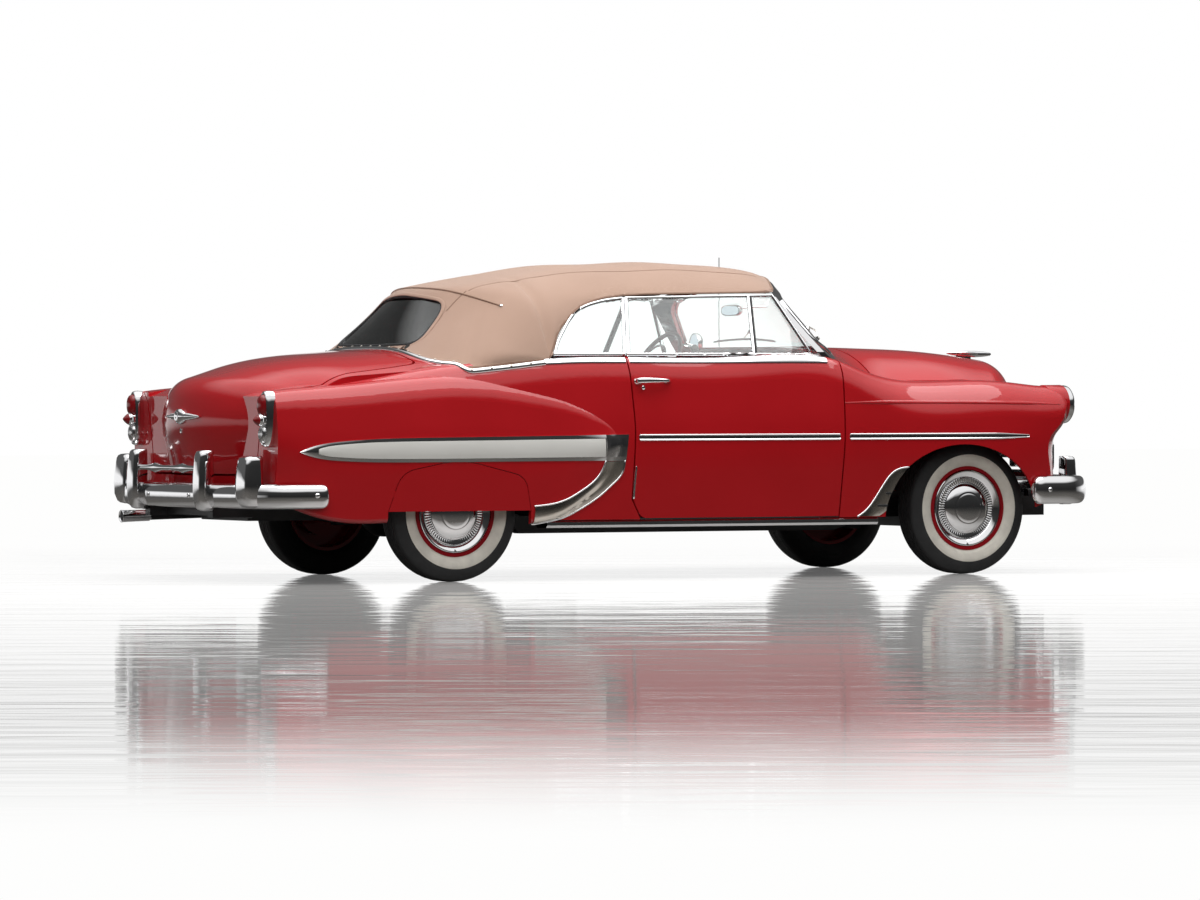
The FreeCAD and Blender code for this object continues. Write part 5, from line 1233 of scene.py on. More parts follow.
REAR_ROUTE = [(-2.418, 0.0), (-2.412, 0.400), (-2.352, 0.735), (-2.225, 0.910), (-1.995, 0.926)]
FRONT_ROUTE = [(2.440, 0.0), (2.432, 0.380), (2.372, 0.720), (2.240, 0.895), (1.965, 0.925)]
rear_bar = bumper_bar("rear_bar", REAR_ROUTE, 0.366, 0.488, -1)
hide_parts("rear_bumper")
front_bar = bumper_bar("front_bar", FRONT_ROUTE, 0.356, 0.500, 1)
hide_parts("front_bumper")
for side, hand in HANDS:
    bumper_guard("rear_guard_" + hand, -2.398, side * 0.408, 0.050, 0.078, 0.352, 0.650, -1)
    bumper_guard("rear_corner_guard_" + hand, -2.296, side * 0.748, 0.070, 0.098, 0.372, 0.624, -1, 4.0)
    bumper_guard("front_guard_" + hand, 2.408, side * 0.470, 0.046, 0.068, 0.345, 0.596, 1)
    for name, spot, axis in (
        ("rear_wrap_bolt", (-2.075, side * 0.9265 + side * 0.029, 0.432), (0, side, 0)),
        ("front_wrap_bolt", (2.050, side * 0.9175 + side * 0.029, 0.430), (0, side, 0)),
        ("rear_face_bolt", (-2.4170 - 0.029, side * 0.250, 0.427), BACK),
        ("front_face_bolt", (2.4370 + 0.029, side * 0.250, 0.428), AHEAD),
    ):
        turned(
            "%s_%s" % (name, hand),
            [(-0.008, 0.0125), (0.001, 0.0125), (0.005, 0.0105), (0.0075, 0.006), (0.0080, 0.0)],
            spot, axis, CHROME, "car_body", 24,
        )
cross_bar = []
for k in range(49):
    y = -0.408 + 0.816 * k / 48
    swell = 1 + 0.9 * max(0.0, 1 - abs(abs(y) - 0.17) / 0.12) ** 2
    cross_bar.append(oval((-2.440, y, 0.560), UP, AHEAD, 0.0135 * swell, 0.014, 2.2, 20))
lofted("rear_cross_bar", cross_bar, CHROME, "car_body")
for side, hand in HANDS:
    bracket = [oval((x, side * 0.385, 0.372), ACROSS, UP, 0.022, 0.022, 5.0, 16) for x in (-2.412, -2.395)]
    lofted("rear_bar_bracket_" + hand, bracket, BLACK_PAINT, "car_body")
    arm = [oval((x, side * 0.385, 0.406), ACROSS, UP, 0.022, 0.021, 5.0, 16) for x in (2.240, 2.434)]
    lofted("front_bar_arm_" + hand, arm, BLACK_PAINT, "car_body")

# ---------------------------------------------------------------- tail lamps
TAIL_X, LAMP_Y = -2.250, 0.800


def tail_ring(back, half, low, high, side):
    return oval(
        (TAIL_X - back, side * LAMP_Y, (low + high) / 2), ACROSS, UP, half, (high - low) / 2, 2.8, 40
    )


for side, hand in HANDS:
    housing = [
        tail_ring(back, half, low, high, side)
        for back, half, low, high in (
            (-0.004, 0.0470, 0.666, 0.938), (0.018, 0.0485, 0.664, 0.940), (0.030, 0.0480, 0.665, 0.939),
            (0.040, 0.0455, 0.669, 0.935), (0.044, 0.0410, 0.675, 0.929), (0.040, 0.0370, 0.680, 0.924),
            (0.030, 0.0360, 0.682, 0.922),
        )
    ]
    shown = lofted("tail_housing_" + hand, housing, CHROME, "car_body")
    if side < 0:
        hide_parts("tail_lamps")
    for name, z, half, tall, power, backs, material in (
        ("red_lens_", 0.868, 0.036, 0.053, 2.5, (0.030, 0.046, 0.058, 0.066, 0.071, 0.072), RED_LENS),
        ("clear_lens_", 0.728, 0.034, 0.044, 2.3, (0.030, 0.044, 0.053, 0.059, 0.062, 0.063), REFLECTOR),
    ):
        lens = [
            oval((TAIL_X - back, side * LAMP_Y, z), ACROSS, UP, half * grow, tall * grow, power, 32)
            for back, grow in zip(backs, (1.0, 1.0, 0.90, 0.70, 0.40, 0.10))
        ]
        lofted(name + hand, lens, material, "car_body")
    for k in range(-2, 3):
        rib = []
        for step in range(13):
            z = 0.690 + 0.076 * step / 12
            rise = math.sqrt(max(0.0, 1 - ((z - 0.728) / 0.046) ** 2 - (k * 0.011 / 0.037) ** 2))
            rib.append((Vector((TAIL_X - 0.042 - 0.021 * rise, side * LAMP_Y + k * 0.011, z)), Vector(BACK)))
        moulding("lens_rib_%d_%s" % (k + 3, hand), rib, half_round(0.004, 0.0018), CHROME, "car_body")
    centre = (TAIL_X, side * LAMP_Y, 0.797)
    turned(
        "lamp_cone_" + hand,
        [(0.030, 0.033), (
            0.056, 0.0335
        ), (0.062, 0.0315), (0.064, 0.029), (0.070, 0.0270), (0.084, 0.0170), (0.094, 0.0065),
         (0.0965, 0.0030), (0.097, 0.0)],
        centre, BACK, [CHROME, RED_LENS], "car_body", 40, slot_of=lambda k, step: 1 if k >= 4 else 0,
    )
    band = [
        oval((TAIL_X - back, side * LAMP_Y, 0.797), ACROSS, UP, 0.0385 * wide, 0.0235 * wide, 5.0, 32)
        for back, wide in ((0.030, 1.0), (0.050, 1.0), (0.056, 0.95), (0.058, 0.85))
    ]
    lofted("lamp_band_" + hand, band, CHROME, "car_body")

# ---------------------------------------------------------------- trunk handle
handle_rings = []
for k in range(57):
    y = -0.200 + 0.400 * k / 56
    reach = abs(y) / 0.200
    wing = 0.016 * (1 - reach ** 1.6) + 0.0035
    boss = max(0.0, 1 - (abs(y) / 0.058) ** 2)
    ridge = 0.0016 if k % 2 and 0.30 < reach < 0.92 else 0.0
    half_up = wing + 0.019 * boss + ridge
    bulge = 0.010 + 0.014 * boss + ridge
    hit = back_point(y, 0.812)
    handle_rings.append(
        oval(hit[0] + hit[1] * (bulge * 0.35), UP, hit[1], half_up, bulge * 0.9, 2.0, 20)
    )
lofted("trunk_handle", handle_rings, CHROME, "trunk_lid", sharp=25.0)
boss_hit = back_point(0.0, 0.812)
turned(
    "trunk_lock",
    [(0.010, 0.026), (0.024, 0.0255), (0.028, 0.022), (0.029, 0.012), (0.0265, 0.010), (0.0265, 0.0)],
    boss_hit[0], boss_hit[1], [CHROME, IVORY], "trunk_lid", 36,
)
knob_hit = back_point(0.0, 0.742)
turned("trunk_key", [
    (-0.002, 0.013), (0.004, 0.0125), (0.006, 0.010), (0.005, 0.0)
], knob_hit[0], knob_hit[1], CHROME, "trunk_lid", 24)

# ---------------------------------------------------------------- moulding round the foot of the top
FOLD = Vector((FOLD_X, 0, 0))
base_stations = []
for spot in CANOPY_GRID[-1][1:-1]:
    away = Vector((spot.x, spot.y, 0)) - FOLD
    away.normalize()
    hit = top_point(spot.x + away.x * 0.012, spot.y + away.y * 0.012)
    if hit and BODY_OF[hit[2]] == "car_body":
        base_stations.append((hit[0], hit[1]))
BASE_STEPS = 200
base_spots = resample([station[0] for station in base_stations], BASE_STEPS)
pace = (len(base_stations) - 1) / (BASE_STEPS - 1)
base_stations = evened([(spot, base_stations[round(k * pace)][1]) for k, spot in enumerate(base_spots)], 5)
moulding("top_base_moulding", base_stations, half_round(0.030, 0.013, 0.004, 9), CHROME, "car_body")
for k in range(6, len(base_stations) - 6, 8):
    spot, normal = base_stations[k]
    turned(
        "snap_%02d" % (k // 8), [(0.009, 0.0062), (0.0155, 0.0056), (0.0175, 0.003), (0.0177, 0.0)], spot,
        normal, STAINLESS,
        "car_body", 12,
    )

# ---------------------------------------------------------------- seats
CUSHION_RING, CUSHION_ROWS, PLEAT = 88, 241, 0.052


def cushion(name, outline, half, insert, crown=0.016, corner=0.060):
    """A sewn cushion: a crowned profile swept across the car, with a pleated panel and ends that pull in.

    The insert is where the pleats are: first and last place round the profile, then low and high |y|.
    """
    size, rows = CUSHION_RING, CUSHION_ROWS
    first, last, low, high = insert
    profile = resample([(x, 0, z) for x, z in outline], size, closed=True)
    middle = sum(profile, Vector()) / len(profile)
    outward = []
    for k, point in enumerate(profile):
        along = (profile[(k + 1) % size] - profile[k - 1]).normalized()
        normal = Vector((along.z, 0, -along.x))
        outward.append(normal if normal.dot(point - middle) > 0 else -normal)
    points, faces = [], []
    for r in range(rows):
        share = 2 * r / (rows - 1) - 1
        y = half * math.copysign(1 - (1 - abs(share)) ** 1.25, share)
        over = max(0.0, abs(y) - (half - corner)) / corner
        inset = corner * (1 - math.sqrt(max(0.0, 1 - over * over)))
        belly = crown * (1 - (y / half) ** 4) - crown
        for k, point in enumerate(profile):
            move = belly - inset
            if first <= k <= last and low < abs(y) < high:
                edge = min(1.0, (k - first) / 4, (last - k) / 4)
                side_edge = min(1.0, (abs(y) - low) / 0.010, (high - abs(y)) / 0.010)
                wave = abs(math.sin(math.pi * (abs(y) - low) / PLEAT)) ** 0.55
                move += (-0.0085 + 0.0085 * wave) * edge * side_edge
            move += 0.0016 * math.sin(17 * y + 0.7 * k) * math.sin(0.31 * k + 9 * y)
            pulled = 0.010 * over * math.cos(math.pi * (k % (size // 2)) / (size // 2))
            points.append(point + outward[k] * move + Vector((0, y - math.copysign(pulled * 0.2, y), 0)))
    for r in range(rows - 1):
        for k in range(size):
            after = (k + 1) % size
            faces.append((r * size + k, r * size + after, (r + 1) * size + after, (r + 1) * size + k))
    faces.append(tuple(range(size)))
    faces.append(tuple(range((rows - 1) * size, rows * size)))
    made = piece(name, points, faces, SEAT_RED, "car_body", None, 60.0)
    for side, hand in HANDS:
        row = max(0, min(rows - 1, round((rows - 1) * (0.5 + side * 0.472))))
        stations = [
            (points[row * size + k] + outward[k] * 0.001, (
                outward[k] + Vector((0, side * 0.8, 0))
            ).normalized())
            for k in range(size)
        ]
        moulding(name + "_piping_" + hand, stations, half_round(
            0.009, 0.0055, 0.002, 6
        ), PIPING, "car_body", closed=True)
    return made


PIPING = leathercloth("seat_piping", (0.62, 0.55, 0.42), (0.56, 0.49, 0.37))
FRONT_BASE = [(-0.395, 0.345), (0.318, 0.345), (0.345, 0.398), (-0.395, 0.398)]
FRONT_BOTTOM = [
    (-0.130, 0.405), (0.120, 0.400), (0.340, 0.402), (0.368, 0.440), (0.374, 0.490), (0.352, 0.532),
    (0.290, 0.546),
    (0.080, 0.541), (-0.130, 0.538), (-0.150, 0.500),
]
FRONT_BACK = [
    (-0.170, 0.430), (-0.160, 0.520), (-0.185, 0.640), (-0.232, 0.830), (-0.268, 0.970), (-0.300, 1.014),
    (-0.350, 1.014), (-0.392, 0.996), (-0.415, 0.930), (-0.408, 0.700), (-0.398, 0.440), (-0.280, 0.410),
]
REAR_BOTTOM = [
    (-0.960, 0.455), (-0.760, 0.450), (-0.620, 0.452), (-0.572, 0.480), (-0.556, 0.535), (-0.585, 0.592),
    (-0.660, 0.600), (-0.800, 0.592), (-0.935, 0.582), (-0.975, 0.520),
]
REAR_BACK = [
    (-0.965, 0.600), (-0.985, 0.760), (-1.022, 0.930), (-1.048, 1.004), (-1.085, 1.022), (-1.140, 1.005),
    (-1.152, 0.800), (-1.150, 0.620), (-1.060, 0.585),
]


def lower_box(name, outline, half, gap):
    """The plain upholstered foot of a bench, in two halves either side of the tunnel."""
    for side, hand in HANDS:
        rings = []
        for y, inset in ((gap, 0.006), (gap + 0.006, 0.0), (half - 0.02, 0.0), (half - 0.004, 0.006)):
            ring = []
            for k, (x, z) in enumerate(outline):
                for cx, cz in (outline[k - 1], outline[(k + 1) % len(outline)]):
                    reach = math.hypot(cx - x, cz - z)
                    cut = 0.012 + inset
                    ring.append(Vector((x + (cx - x) / reach * cut, side * y, z + (cz - z) / reach * cut)))
            rings.append(ring)
        lofted(name + "_" + hand, rings, SEAT_RED, "car_body", sharp=25.0)


lower_box("front_seat_foot", FRONT_BASE, 0.640, 0.100)
lower_box(
    "rear_seat_foot", [(-0.740, 0.345), (-0.600, 0.345), (-0.578, 0.445), (-0.740, 0.445)], 0.620, 0.100
)
front_bench = cushion("front_seat_cushion", FRONT_BOTTOM, 0.652, (38, 74, 0.075, 0.595))
cushion("front_seat_back", FRONT_BACK, 0.652, (4, 40, 0.075, 0.595), 0.014, 0.070)
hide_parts("front_seat")
rear_bench = cushion("rear_seat_cushion", REAR_BOTTOM, 0.626, (38, 74, 0.060, 0.560))
cushion("rear_seat_back", REAR_BACK, 0.626, (2, 36, 0.060, 0.560), 0.014, 0.060)
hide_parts("rear_seat")

# ---------------------------------------------------------------- carpet, dashboard and wheel
FLOOR, _ = nodes_tree(["floor_pan"])
for name, low_x, high_x, half in (("carpet_front", 0.40, 0.98, 0.60), ("carpet_rear", -0.54, -0.43, 0.60)):
    grid = []
    for r in range(61):
        y = half * (2 * r / 60 - 1)
        row = [
            FLOOR(Vector((low_x + (high_x - low_x) * c / 24, y, 0.95)), Vector(DOWN), 0.95) for c in range(25)
        ]
        grid.append([(hit[0], Vector(UP)) for hit in row if hit])
    if min(len(row) for row in grid) == 25:
        carpet = overlay(name, grid, 0.006, CARPET, "car_body", skirt=0.0, sharp=60.0)

DIAL = enamel("dial_face", (0.60, 0.55, 0.44), (0.54, 0.49, 0.39))
for y in (0.292, 0.428):
    radius, place = 0.050, (0.692, y, 1.030)
    turned(
        "dial_bezel_%d" % round(y * 1000),
        [(
            -0.004, radius + 0.008
        ), (0.012, radius + 0.006), (0.015, radius), (0.009, radius - 0.003), (0.004, radius - 0.003)],
        place, BACK, CHROME, "car_body", 48,
    )
    turned(
        "dial_%d" % round(y * 1000), [(0.001, radius - 0.002), (0.006, radius - 0.003), (0.006, 0.0)], place,
        BACK,
        DIAL, "car_body", 48,
    )
    for k in range(11):
        turn = math.radians(-120 + 24 * k)
        tip, root = (
            Vector((0.6855, y + math.sin(turn) * (radius - short), 1.030 + math.cos(turn) * (radius - short)))
            for short in (0.010, 0.018)
        )
        across = (tip - root).cross(Vector(AHEAD)).normalized()
        lofted(
            "dial_mark_%d_%02d" % (round(y * 1000), k),
            [oval(end, across, AHEAD, 0.0013, 0.0008, 2, 6) for end in (root, tip)],
            SEAL, "car_body",
        )
    turned("dial_boss_%d" % round(y * 1000), [
        (0.005, 0.006), (0.011, 0.005), (0.012, 0.0)
    ], place, BACK, CHROME,
           "car_body", 20)
for k, y in enumerate((0.200, 0.120, -0.120, -0.200, -0.620)):
    turned(
        "dash_knob_%d" % k,
        [(-0.004, 0.006), (0.014, 0.006), (0.016, 0.013), (0.026, 0.0135), (0.029, 0.011), (0.030, 0.0)],
        (0.697, y, 0.992), BACK, [CHROME, IVORY], "car_body", 24, slot_of=lambda k, step: 0 if k < 2 else 1,
    )
radio_rings = [
    oval((0.698 - out, 0.0, 1.036), ACROSS, UP, half, tall, 6.0, 40)
    for out, half, tall in (
        (0.0, 0.100, 0.036), (0.016, 0.098, 0.035), (0.019, 0.092, 0.030), (0.013, 0.088, 0.026)
    )
]
lofted("radio_frame", radio_rings, CHROME, "car_body")
for k in range(5):
    z = 1.016 + 0.010 * k
    lofted(
        "radio_bar_%d" % k,
        [oval((0.680, y, z), AHEAD, UP, 0.004, 0.0028, 2, 10) for y in (-0.083, 0.083)], IVORY, "car_body",
    )
glove = [
    oval((0.694 - out, -0.430, 1.032), ACROSS, UP, half, tall, 8.0, 48)
    for out, half, tall in ((0.0, 0.150, 0.048), (0.008, 0.149, 0.047), (0.0095, 0.147, 0.045))
]
lofted("glove_box_lid", glove, DASH_RED, "car_body")
turned("glove_box_lock", [
    (0.0, 0.014), (0.006, 0.013), (0.008, 0.010), (0.008, 0.0)
], (0.685, -0.430, 1.064), BACK,
       CHROME, "car_body", 24)
strip = [(Vector((0.716, y, 1.097)), Vector((-0.75, 0, 0.66))) for y in [-0.72 + 0.04 * k for k in range(37)]]
moulding("dash_strip", strip, half_round(0.016, 0.006), CHROME, "car_body")

COLUMN_TILT = math.radians(30)
WHEEL_AXIS = Vector((math.cos(COLUMN_TILT), 0, -math.sin(COLUMN_TILT)))
WHEEL_AT = Vector((0.445, 0.360, 1.048))
WHEEL_BODY = BODY_OF["steering_wheel"]
ring_steps = 96
wheel_up = Vector((math.sin(COLUMN_TILT), 0, math.cos(COLUMN_TILT)))
wheel_across = Vector(ACROSS)
horn_rows = []
for k in range(ring_steps):
    turn = 2 * math.pi * k / ring_steps
    ray = wheel_up * math.cos(turn) + wheel_across * math.sin(turn)
    horn_rows.append((WHEEL_AT - WHEEL_AXIS * 0.030 + ray * 0.128, -WHEEL_AXIS))
moulding("horn_ring", horn_rows, half_round(0.009, 0.0045, 0.0045, 8), CHROME, WHEEL_BODY, closed=True)
for k, turn in enumerate((100, 260, 180)):
    ray = wheel_up * math.cos(math.radians(turn)) + wheel_across * math.sin(math.radians(turn))
    across = ray.cross(WHEEL_AXIS)
    lofted(
        "horn_spoke_%d" % k,
        [oval(
            WHEEL_AT - WHEEL_AXIS * 0.026 + ray * far, across, WHEEL_AXIS, 0.006, 0.0026, 2, 12
        ) for far in (0.024, 0.128)],
        CHROME, WHEEL_BODY,
    )
turned(
    "horn_button",
    [(0.014, 0.035), (
        0.018, 0.0355
    ), (0.026, 0.033), (0.030, 0.028), (0.030, 0.026), (0.034, 0.020), (0.036, 0.0)],
    WHEEL_AT, -WHEEL_AXIS, [CHROME, IVORY], WHEEL_BODY, 40, slot_of=lambda k, step: 1 if k >= 4 else 0,
)
column_root = WHEEL_AT + WHEEL_AXIS * 0.135
column_tip = Vector((0.548, 0.106, 1.152))
lever = resample([column_root, column_root.lerp(column_tip, 0.45) + Vector((0, 0, -0.008)), column_tip], 18)
lofted(
    "gear_lever", [oval(p, AHEAD, UP, 0.0052, 0.0052, 2, 12) for p in lever], CHROME,
    BODY_OF["steering_column"]
)
turned(
    "gear_knob",
    [(-0.014, 0.005), (-0.012, 0.012), (
        -0.004, 0.0185
    ), (0.006, 0.0205), (0.016, 0.0185), (0.024, 0.012), (0.028, 0.0)],
    column_tip, (column_tip - column_root).normalized(), IVORY, BODY_OF["steering_column"], 32,
)

# ---------------------------------------------------------------- door linings
for side, hand in HANDS:
    door = "door_" + hand
    inner, _ = nodes_tree([door])
    body = BODY_OF[door]

    def lining_spot(x, z):
        hit = inner(Vector((x, side * 0.30, z)), Vector((0, side, 0)), 0.75)
        return (hit[0], Vector((0, -side, 0))) if hit else None

    grid = [
        [lining_spot(-0.285 + 1.000 * c / 60, 0.470 + 0.430 * r / 40) for c in range(61)] for r in range(41)
    ]
    if all(cell for row in grid for cell in row):
        for r in range(41):
            for c in range(61):
                spot, normal = grid[r][c]
                pleat = abs(
                    math.sin(math.pi * (spot.z - 0.47) / 0.054)
                ) ** 0.6 if 0.16 < r / 40 < 0.72 and 2 < c < 58 else 1
                grid[r][c] = (spot - Vector((0, side * 0.004 * pleat, 0)), normal)
        overlay("door_lining_" + hand, grid, 0.004, SEAT_RED, body, skirt=0.0, sharp=60.0)
        for number, row in enumerate((6, 30)):
            line = [(grid[row][c][0] + Vector((0, -side * 0.004, 0)), grid[row][c][1]) for c in range(3, 58)]
            moulding("door_lining_strip_%s_%d" % (hand, number), line, half_round(0.010, 0.004), CHROME, body)
        rest = []
        for k in range(25):
            x = -0.16 + 0.36 * k / 24
            spot = grid[26][min(60, round((x + 0.285) / 1.0 * 60))][0]
            narrow = (1 - abs(2 * k / 24 - 1) ** 4) ** 0.5 + 0.02
            rest.append(oval((
                x, spot.y - side * 0.024 * narrow, 0.760
            ), ACROSS, UP, 0.026 * narrow, 0.022 * narrow, 2.6, 20))
        lofted("armrest_" + hand, rest, SEAT_RED, body, sharp=60.0)
        for name, x, z, reach in (("window_crank", 0.34, 0.700, 0.075), ("door_pull", 0.56, 0.800, 0.060)):
            spot = lining_spot(x, z)[0]
            turned(
                name + "_boss_" + hand,
                [(0.002, 0.020), (0.010, 0.019), (0.014, 0.014), (0.024, 0.011), (0.027, 0.0)], spot,
                (0, -side, 0), CHROME, body, 24,
            )
            arm = [
                oval(
                    (x - reach * k / 8, spot.y - side * (
                        0.022 + 0.010 * math.sin(math.pi * k / 8)
                    ), z - 0.02 * (k / 8) ** 2),
                    ACROSS, UP, 0.0045, 0.0085 - 0.0004 * k, 2, 14,
                )
                for k in range(9)
            ]
            lofted(name + "_arm_" + hand, arm, CHROME, body)

# ---------------------------------------------------------------- front lamps, mirrors, wipers and small pieces
for side, hand in HANDS:
    place = (2.216, side * 0.738, 0.865)
    turned(
        "headlamp_rim_" + hand,
        [(0.016, 0.098), (
            0.036, 0.0985
        ), (0.046, 0.0960), (0.053, 0.0890), (0.054, 0.0850), (0.048, 0.0815), (0.040, 0.0810)],
        place, AHEAD, CHROME, "car_body", 72,
    )
    turned(
        "headlamp_sleeve_" + hand, [(-0.090, 0.0950), (-0.090, 0.1000), (0.012, 0.1010), (0.020, 0.0975)],
        place, AHEAD, PAINT,
        "car_body", 72,
    )
    turned(
        "headlamp_lens_" + hand,
        [(0.047, 0.0830), (0.055, 0.0700), (0.0605, 0.0500), (0.0635, 0.0270), (0.0645, 0.0)], place, AHEAD,
        LENS_GLASS,
        "car_body", 96, ripple=lambda step, k: (0.0012 * (step % 4 in (1, 2)) * (0 < k < 4), 0.0), sharp=60.0,
    )
    place = (2.262, side * 0.520, 0.601)
    turned(
        "parking_lamp_rim_" + hand,
        [(0.000, 0.0475), (0.014, 0.0480), (0.018, 0.0450), (0.018, 0.0400), (0.013, 0.0385)], place, AHEAD,
        CHROME,
        "car_body", 48,
    )
    turned(
        "parking_lamp_lens_" + hand,
        [(0.0145, 0.0390), (0.020, 0.0330), (0.0235, 0.0200), (0.025, 0.0)], place, AHEAD, IVORY, "car_body",
        48,
        ripple=lambda step, k: (0.0010 * (step % 4 in (1, 2)) * (k == 1), 0.0), sharp=60.0,
    )
    crease = trace_side(
        [(0.84, 0.876), (1.20, 0.879), (1.60, 0.878), (2.00, 0.872), (2.15, 0.866)], side, 0.016
    )
    owned = [(spot, normal, owner) for (spot, normal), (_, _, owner) in zip(evened(crease, 4), crease)]
    for number, (body, part) in enumerate(by_body(owned)):
        moulding(
            "fender_crease_%s_%d" % (hand, number), [station[:2] for station in part],
            half_round(0.020, 0.0045, 0.001, 6),
            PAINT, body, ends=(0.2, 0.2), sharp=60.0,
        )

mirror_at = (0.952, 0.850, 1.190)
turned(
    "side_mirror_shell",
    [(0.0, 0.0535), (0.010, 0.0525), (0.020, 0.046), (0.028, 0.032), (0.033, 0.014), (0.034, 0.0)],
    mirror_at, AHEAD, CHROME, "car_body", 48,
)
turned(
    "side_mirror_bezel", [(0.0, 0.0540), (0.010, 0.0535), (0.012, 0.0510), (0.0095, 0.0480)], mirror_at, BACK,
    CHROME,
    "car_body", 48,
)
turned("side_mirror_glass", [
    (0.0092, 0.0485), (0.0096, 0.0300), (0.0098, 0.0)
], mirror_at, BACK, MIRROR_GLASS,
       "car_body", 48)
turned("side_mirror_foot", [(-0.004, 0.022), (0.006, 0.021), (0.012, 0.014), (0.020, 0.008), (0.024, 0.006)],
       (0.955, 0.850, 1.030), UP, CHROME, "car_body", 32)

SCREEN, _ = nodes_tree(["windshield_glass", "windshield_frame", "cowl"])
FRAME, _ = nodes_tree(["windshield_frame"])
for side, hand in HANDS:
    post = []
    for k in range(30):
        z = 1.128 + 0.262 * k / 29
        hits = [
            FRAME(Vector((0.50 + 0.004 * c, side * 1.2, z)), Vector((0, -side, 0)), 0.62) for c in range(120)
        ]
        hits = [hit for hit in hits if hit]
        if hits:
            rear = min(hits, key=lambda hit: hit[0].x)
            front = max(hits, key=lambda hit: hit[0].x)
            near = [hit for hit in hits if abs(hit[0].x - (0.32 * rear[0].x + 0.68 * front[0].x)) < 0.003]
            if near:
                post.append(near[0])
    if len(post) > 8:
        post = evened(post, 8)
        moulding(
            "windshield_post_trim_" + hand, post, half_round(0.032, 0.010, 0.003, 11), CHROME, "car_body"
        )
        dark = [(spot + Vector((-0.022, 0, -0.006)), normal) for spot, normal in post]
        moulding("windshield_post_seal_" + hand, dark, half_round(0.012, 0.004, 0.004, 6), SEAL, "car_body")
head = SCREEN(Vector((0.30, 0.0, 1.372)), Vector(AHEAD), 1.0)
mirror_back = [
    oval((0.712 + out, 0.0, 1.350), ACROSS, UP, half, tall, 3.0, 40)
    for out, half, tall in ((
        -0.010, 0.094, 0.024
    ), (-0.012, 0.098, 0.028), (0.000, 0.100, 0.030), (0.010, 0.094, 0.025), (0.016, 0.070, 0.014))
]
lofted("cabin_mirror_back", mirror_back, CHROME, "car_body")
lofted(
    "cabin_mirror_glass",
    [oval((x, 0.0, 1.350), ACROSS, UP, 0.092, 0.0225, 3.0, 40) for x in (0.7018, 0.6995)], MIRROR_GLASS,
    "car_body",
)
stem_root = head[0] if head else Vector((0.74, 0, 1.39))
stem = resample([Vector((0.722, 0, 1.352)), Vector((0.735, 0, 1.362)), stem_root + Vector((0.004, 0, 0))], 8)
lofted("cabin_mirror_stem", [oval(p, ACROSS, UP, 0.005, 0.005, 2, 12) for p in stem], CHROME, "car_body")

WINDOW, _ = nodes_tree(["windshield_glass"])


def on_screen(y, z):
    return WINDOW(Vector((1.8, y, z)), Vector(BACK), 1.4)[:2]


for side, hand in HANDS:
    blade = [on_screen(
        side * (0.560 - 0.38 * k / 20), 1.192 + 0.012 * math.sin(math.pi * k / 20)
    ) for k in range(21)]
    moulding("wiper_rubber_" + hand, blade, [
        (0.002, 0.001), (0.002, 0.009), (-0.002, 0.009), (-0.002, 0.001)
    ], SEAL, "car_body")
    moulding("wiper_blade_" + hand, lifted(blade[1:-1], 0.009), half_round(
        0.007, 0.005, 0.0, 5
    ), STAINLESS, "car_body")
    foot = SCREEN(Vector((blade[3][0].x + 0.050, side * 0.300, 1.40)), Vector(DOWN), 0.6)
    turned("wiper_pivot_" + hand, [
        (-0.004, 0.017), (0.008, 0.016), (0.014, 0.012), (0.026, 0.010), (0.030, 0.006), (0.031, 0.0)
    ],
           foot[0], (0.35, 0, 1), CHROME, "car_body", 28)
    grip, grip_normal = blade[9]
    root = foot[0] + Vector((0.008, 0, 0.024))
    arm = resample([
        root, root.lerp(grip + grip_normal * 0.020, 0.6) + grip_normal * 0.010, grip + grip_normal * 0.016
    ], 14)
    lofted(
        "wiper_arm_" + hand,
        [oval(p, AHEAD, UP, 0.0042 - 0.00012 * k, 0.0042 - 0.00012 * k, 2, 10) for k, p in enumerate(arm)],
        STAINLESS, "car_body",
    )

pipe_root, pipe_end = Vector((-1.720, 0.575, 0.330)), Vector((-2.454, 0.560, 0.312))
# the flat disc closing the tip is black seal material: painted shade for the hollow inside the pipe
turned(
    "exhaust_tip",
    [(-0.150, 0.0255), (
        -0.146, 0.0285
    ), (-0.010, 0.0300), (0.004, 0.0315), (0.006, 0.0300), (0.004, 0.0270), (-0.001, 0.0245),
     (-0.001, 0.0)],
    pipe_end, (pipe_end - pipe_root).normalized(), [CHROME, SEAL], "car_body", 40, slot_of=lambda k,
    step: 1 if k == 6 else 0,
)
ornament = []
for x, half, low, high in (
    (1.986, 0.0030, 1.130, 1.137), (2.010, 0.0105, 1.124, 1.140), (2.060, 0.0205, 1.117, 1.1425),
    (2.110, 0.0205, 1.113, 1.1445),
    (2.160, 0.0165, 1.111, 1.1445), (2.210, 0.0105, 1.115, 1.1415), (2.245, 0.0060, 1.119, 1.1370),
    (2.256, 0.0020, 1.125, 1.1310),
):
    ornament.append(oval((x, 0, (low + high) / 2), ACROSS, UP, half, (high - low) / 2, 2.3, 28))
lofted("ornament_body", ornament, CHROME, BODY_OF["hood_ornament"], sharp=60.0)
for side, hand in HANDS:
    wing = [
        oval((2.165 - 0.150 * k / 10, side * (
            0.012 + 0.050 * math.sin(math.pi * k / 20)
        ), 1.130 + 0.006 * k / 10), ACROSS, UP,
             0.010 * (1 - (k / 10) ** 3) + 0.001, 0.0045 * (1 - (k / 10) ** 3) + 0.0008, 2, 16)
        for k in range(11)
    ]
    lofted("ornament_wing_" + hand, wing, CHROME, BODY_OF["hood_ornament"], sharp=60.0)

# ---------------------------------------------------------------- camera, floor and light
VIEW_TURN = 0.47433


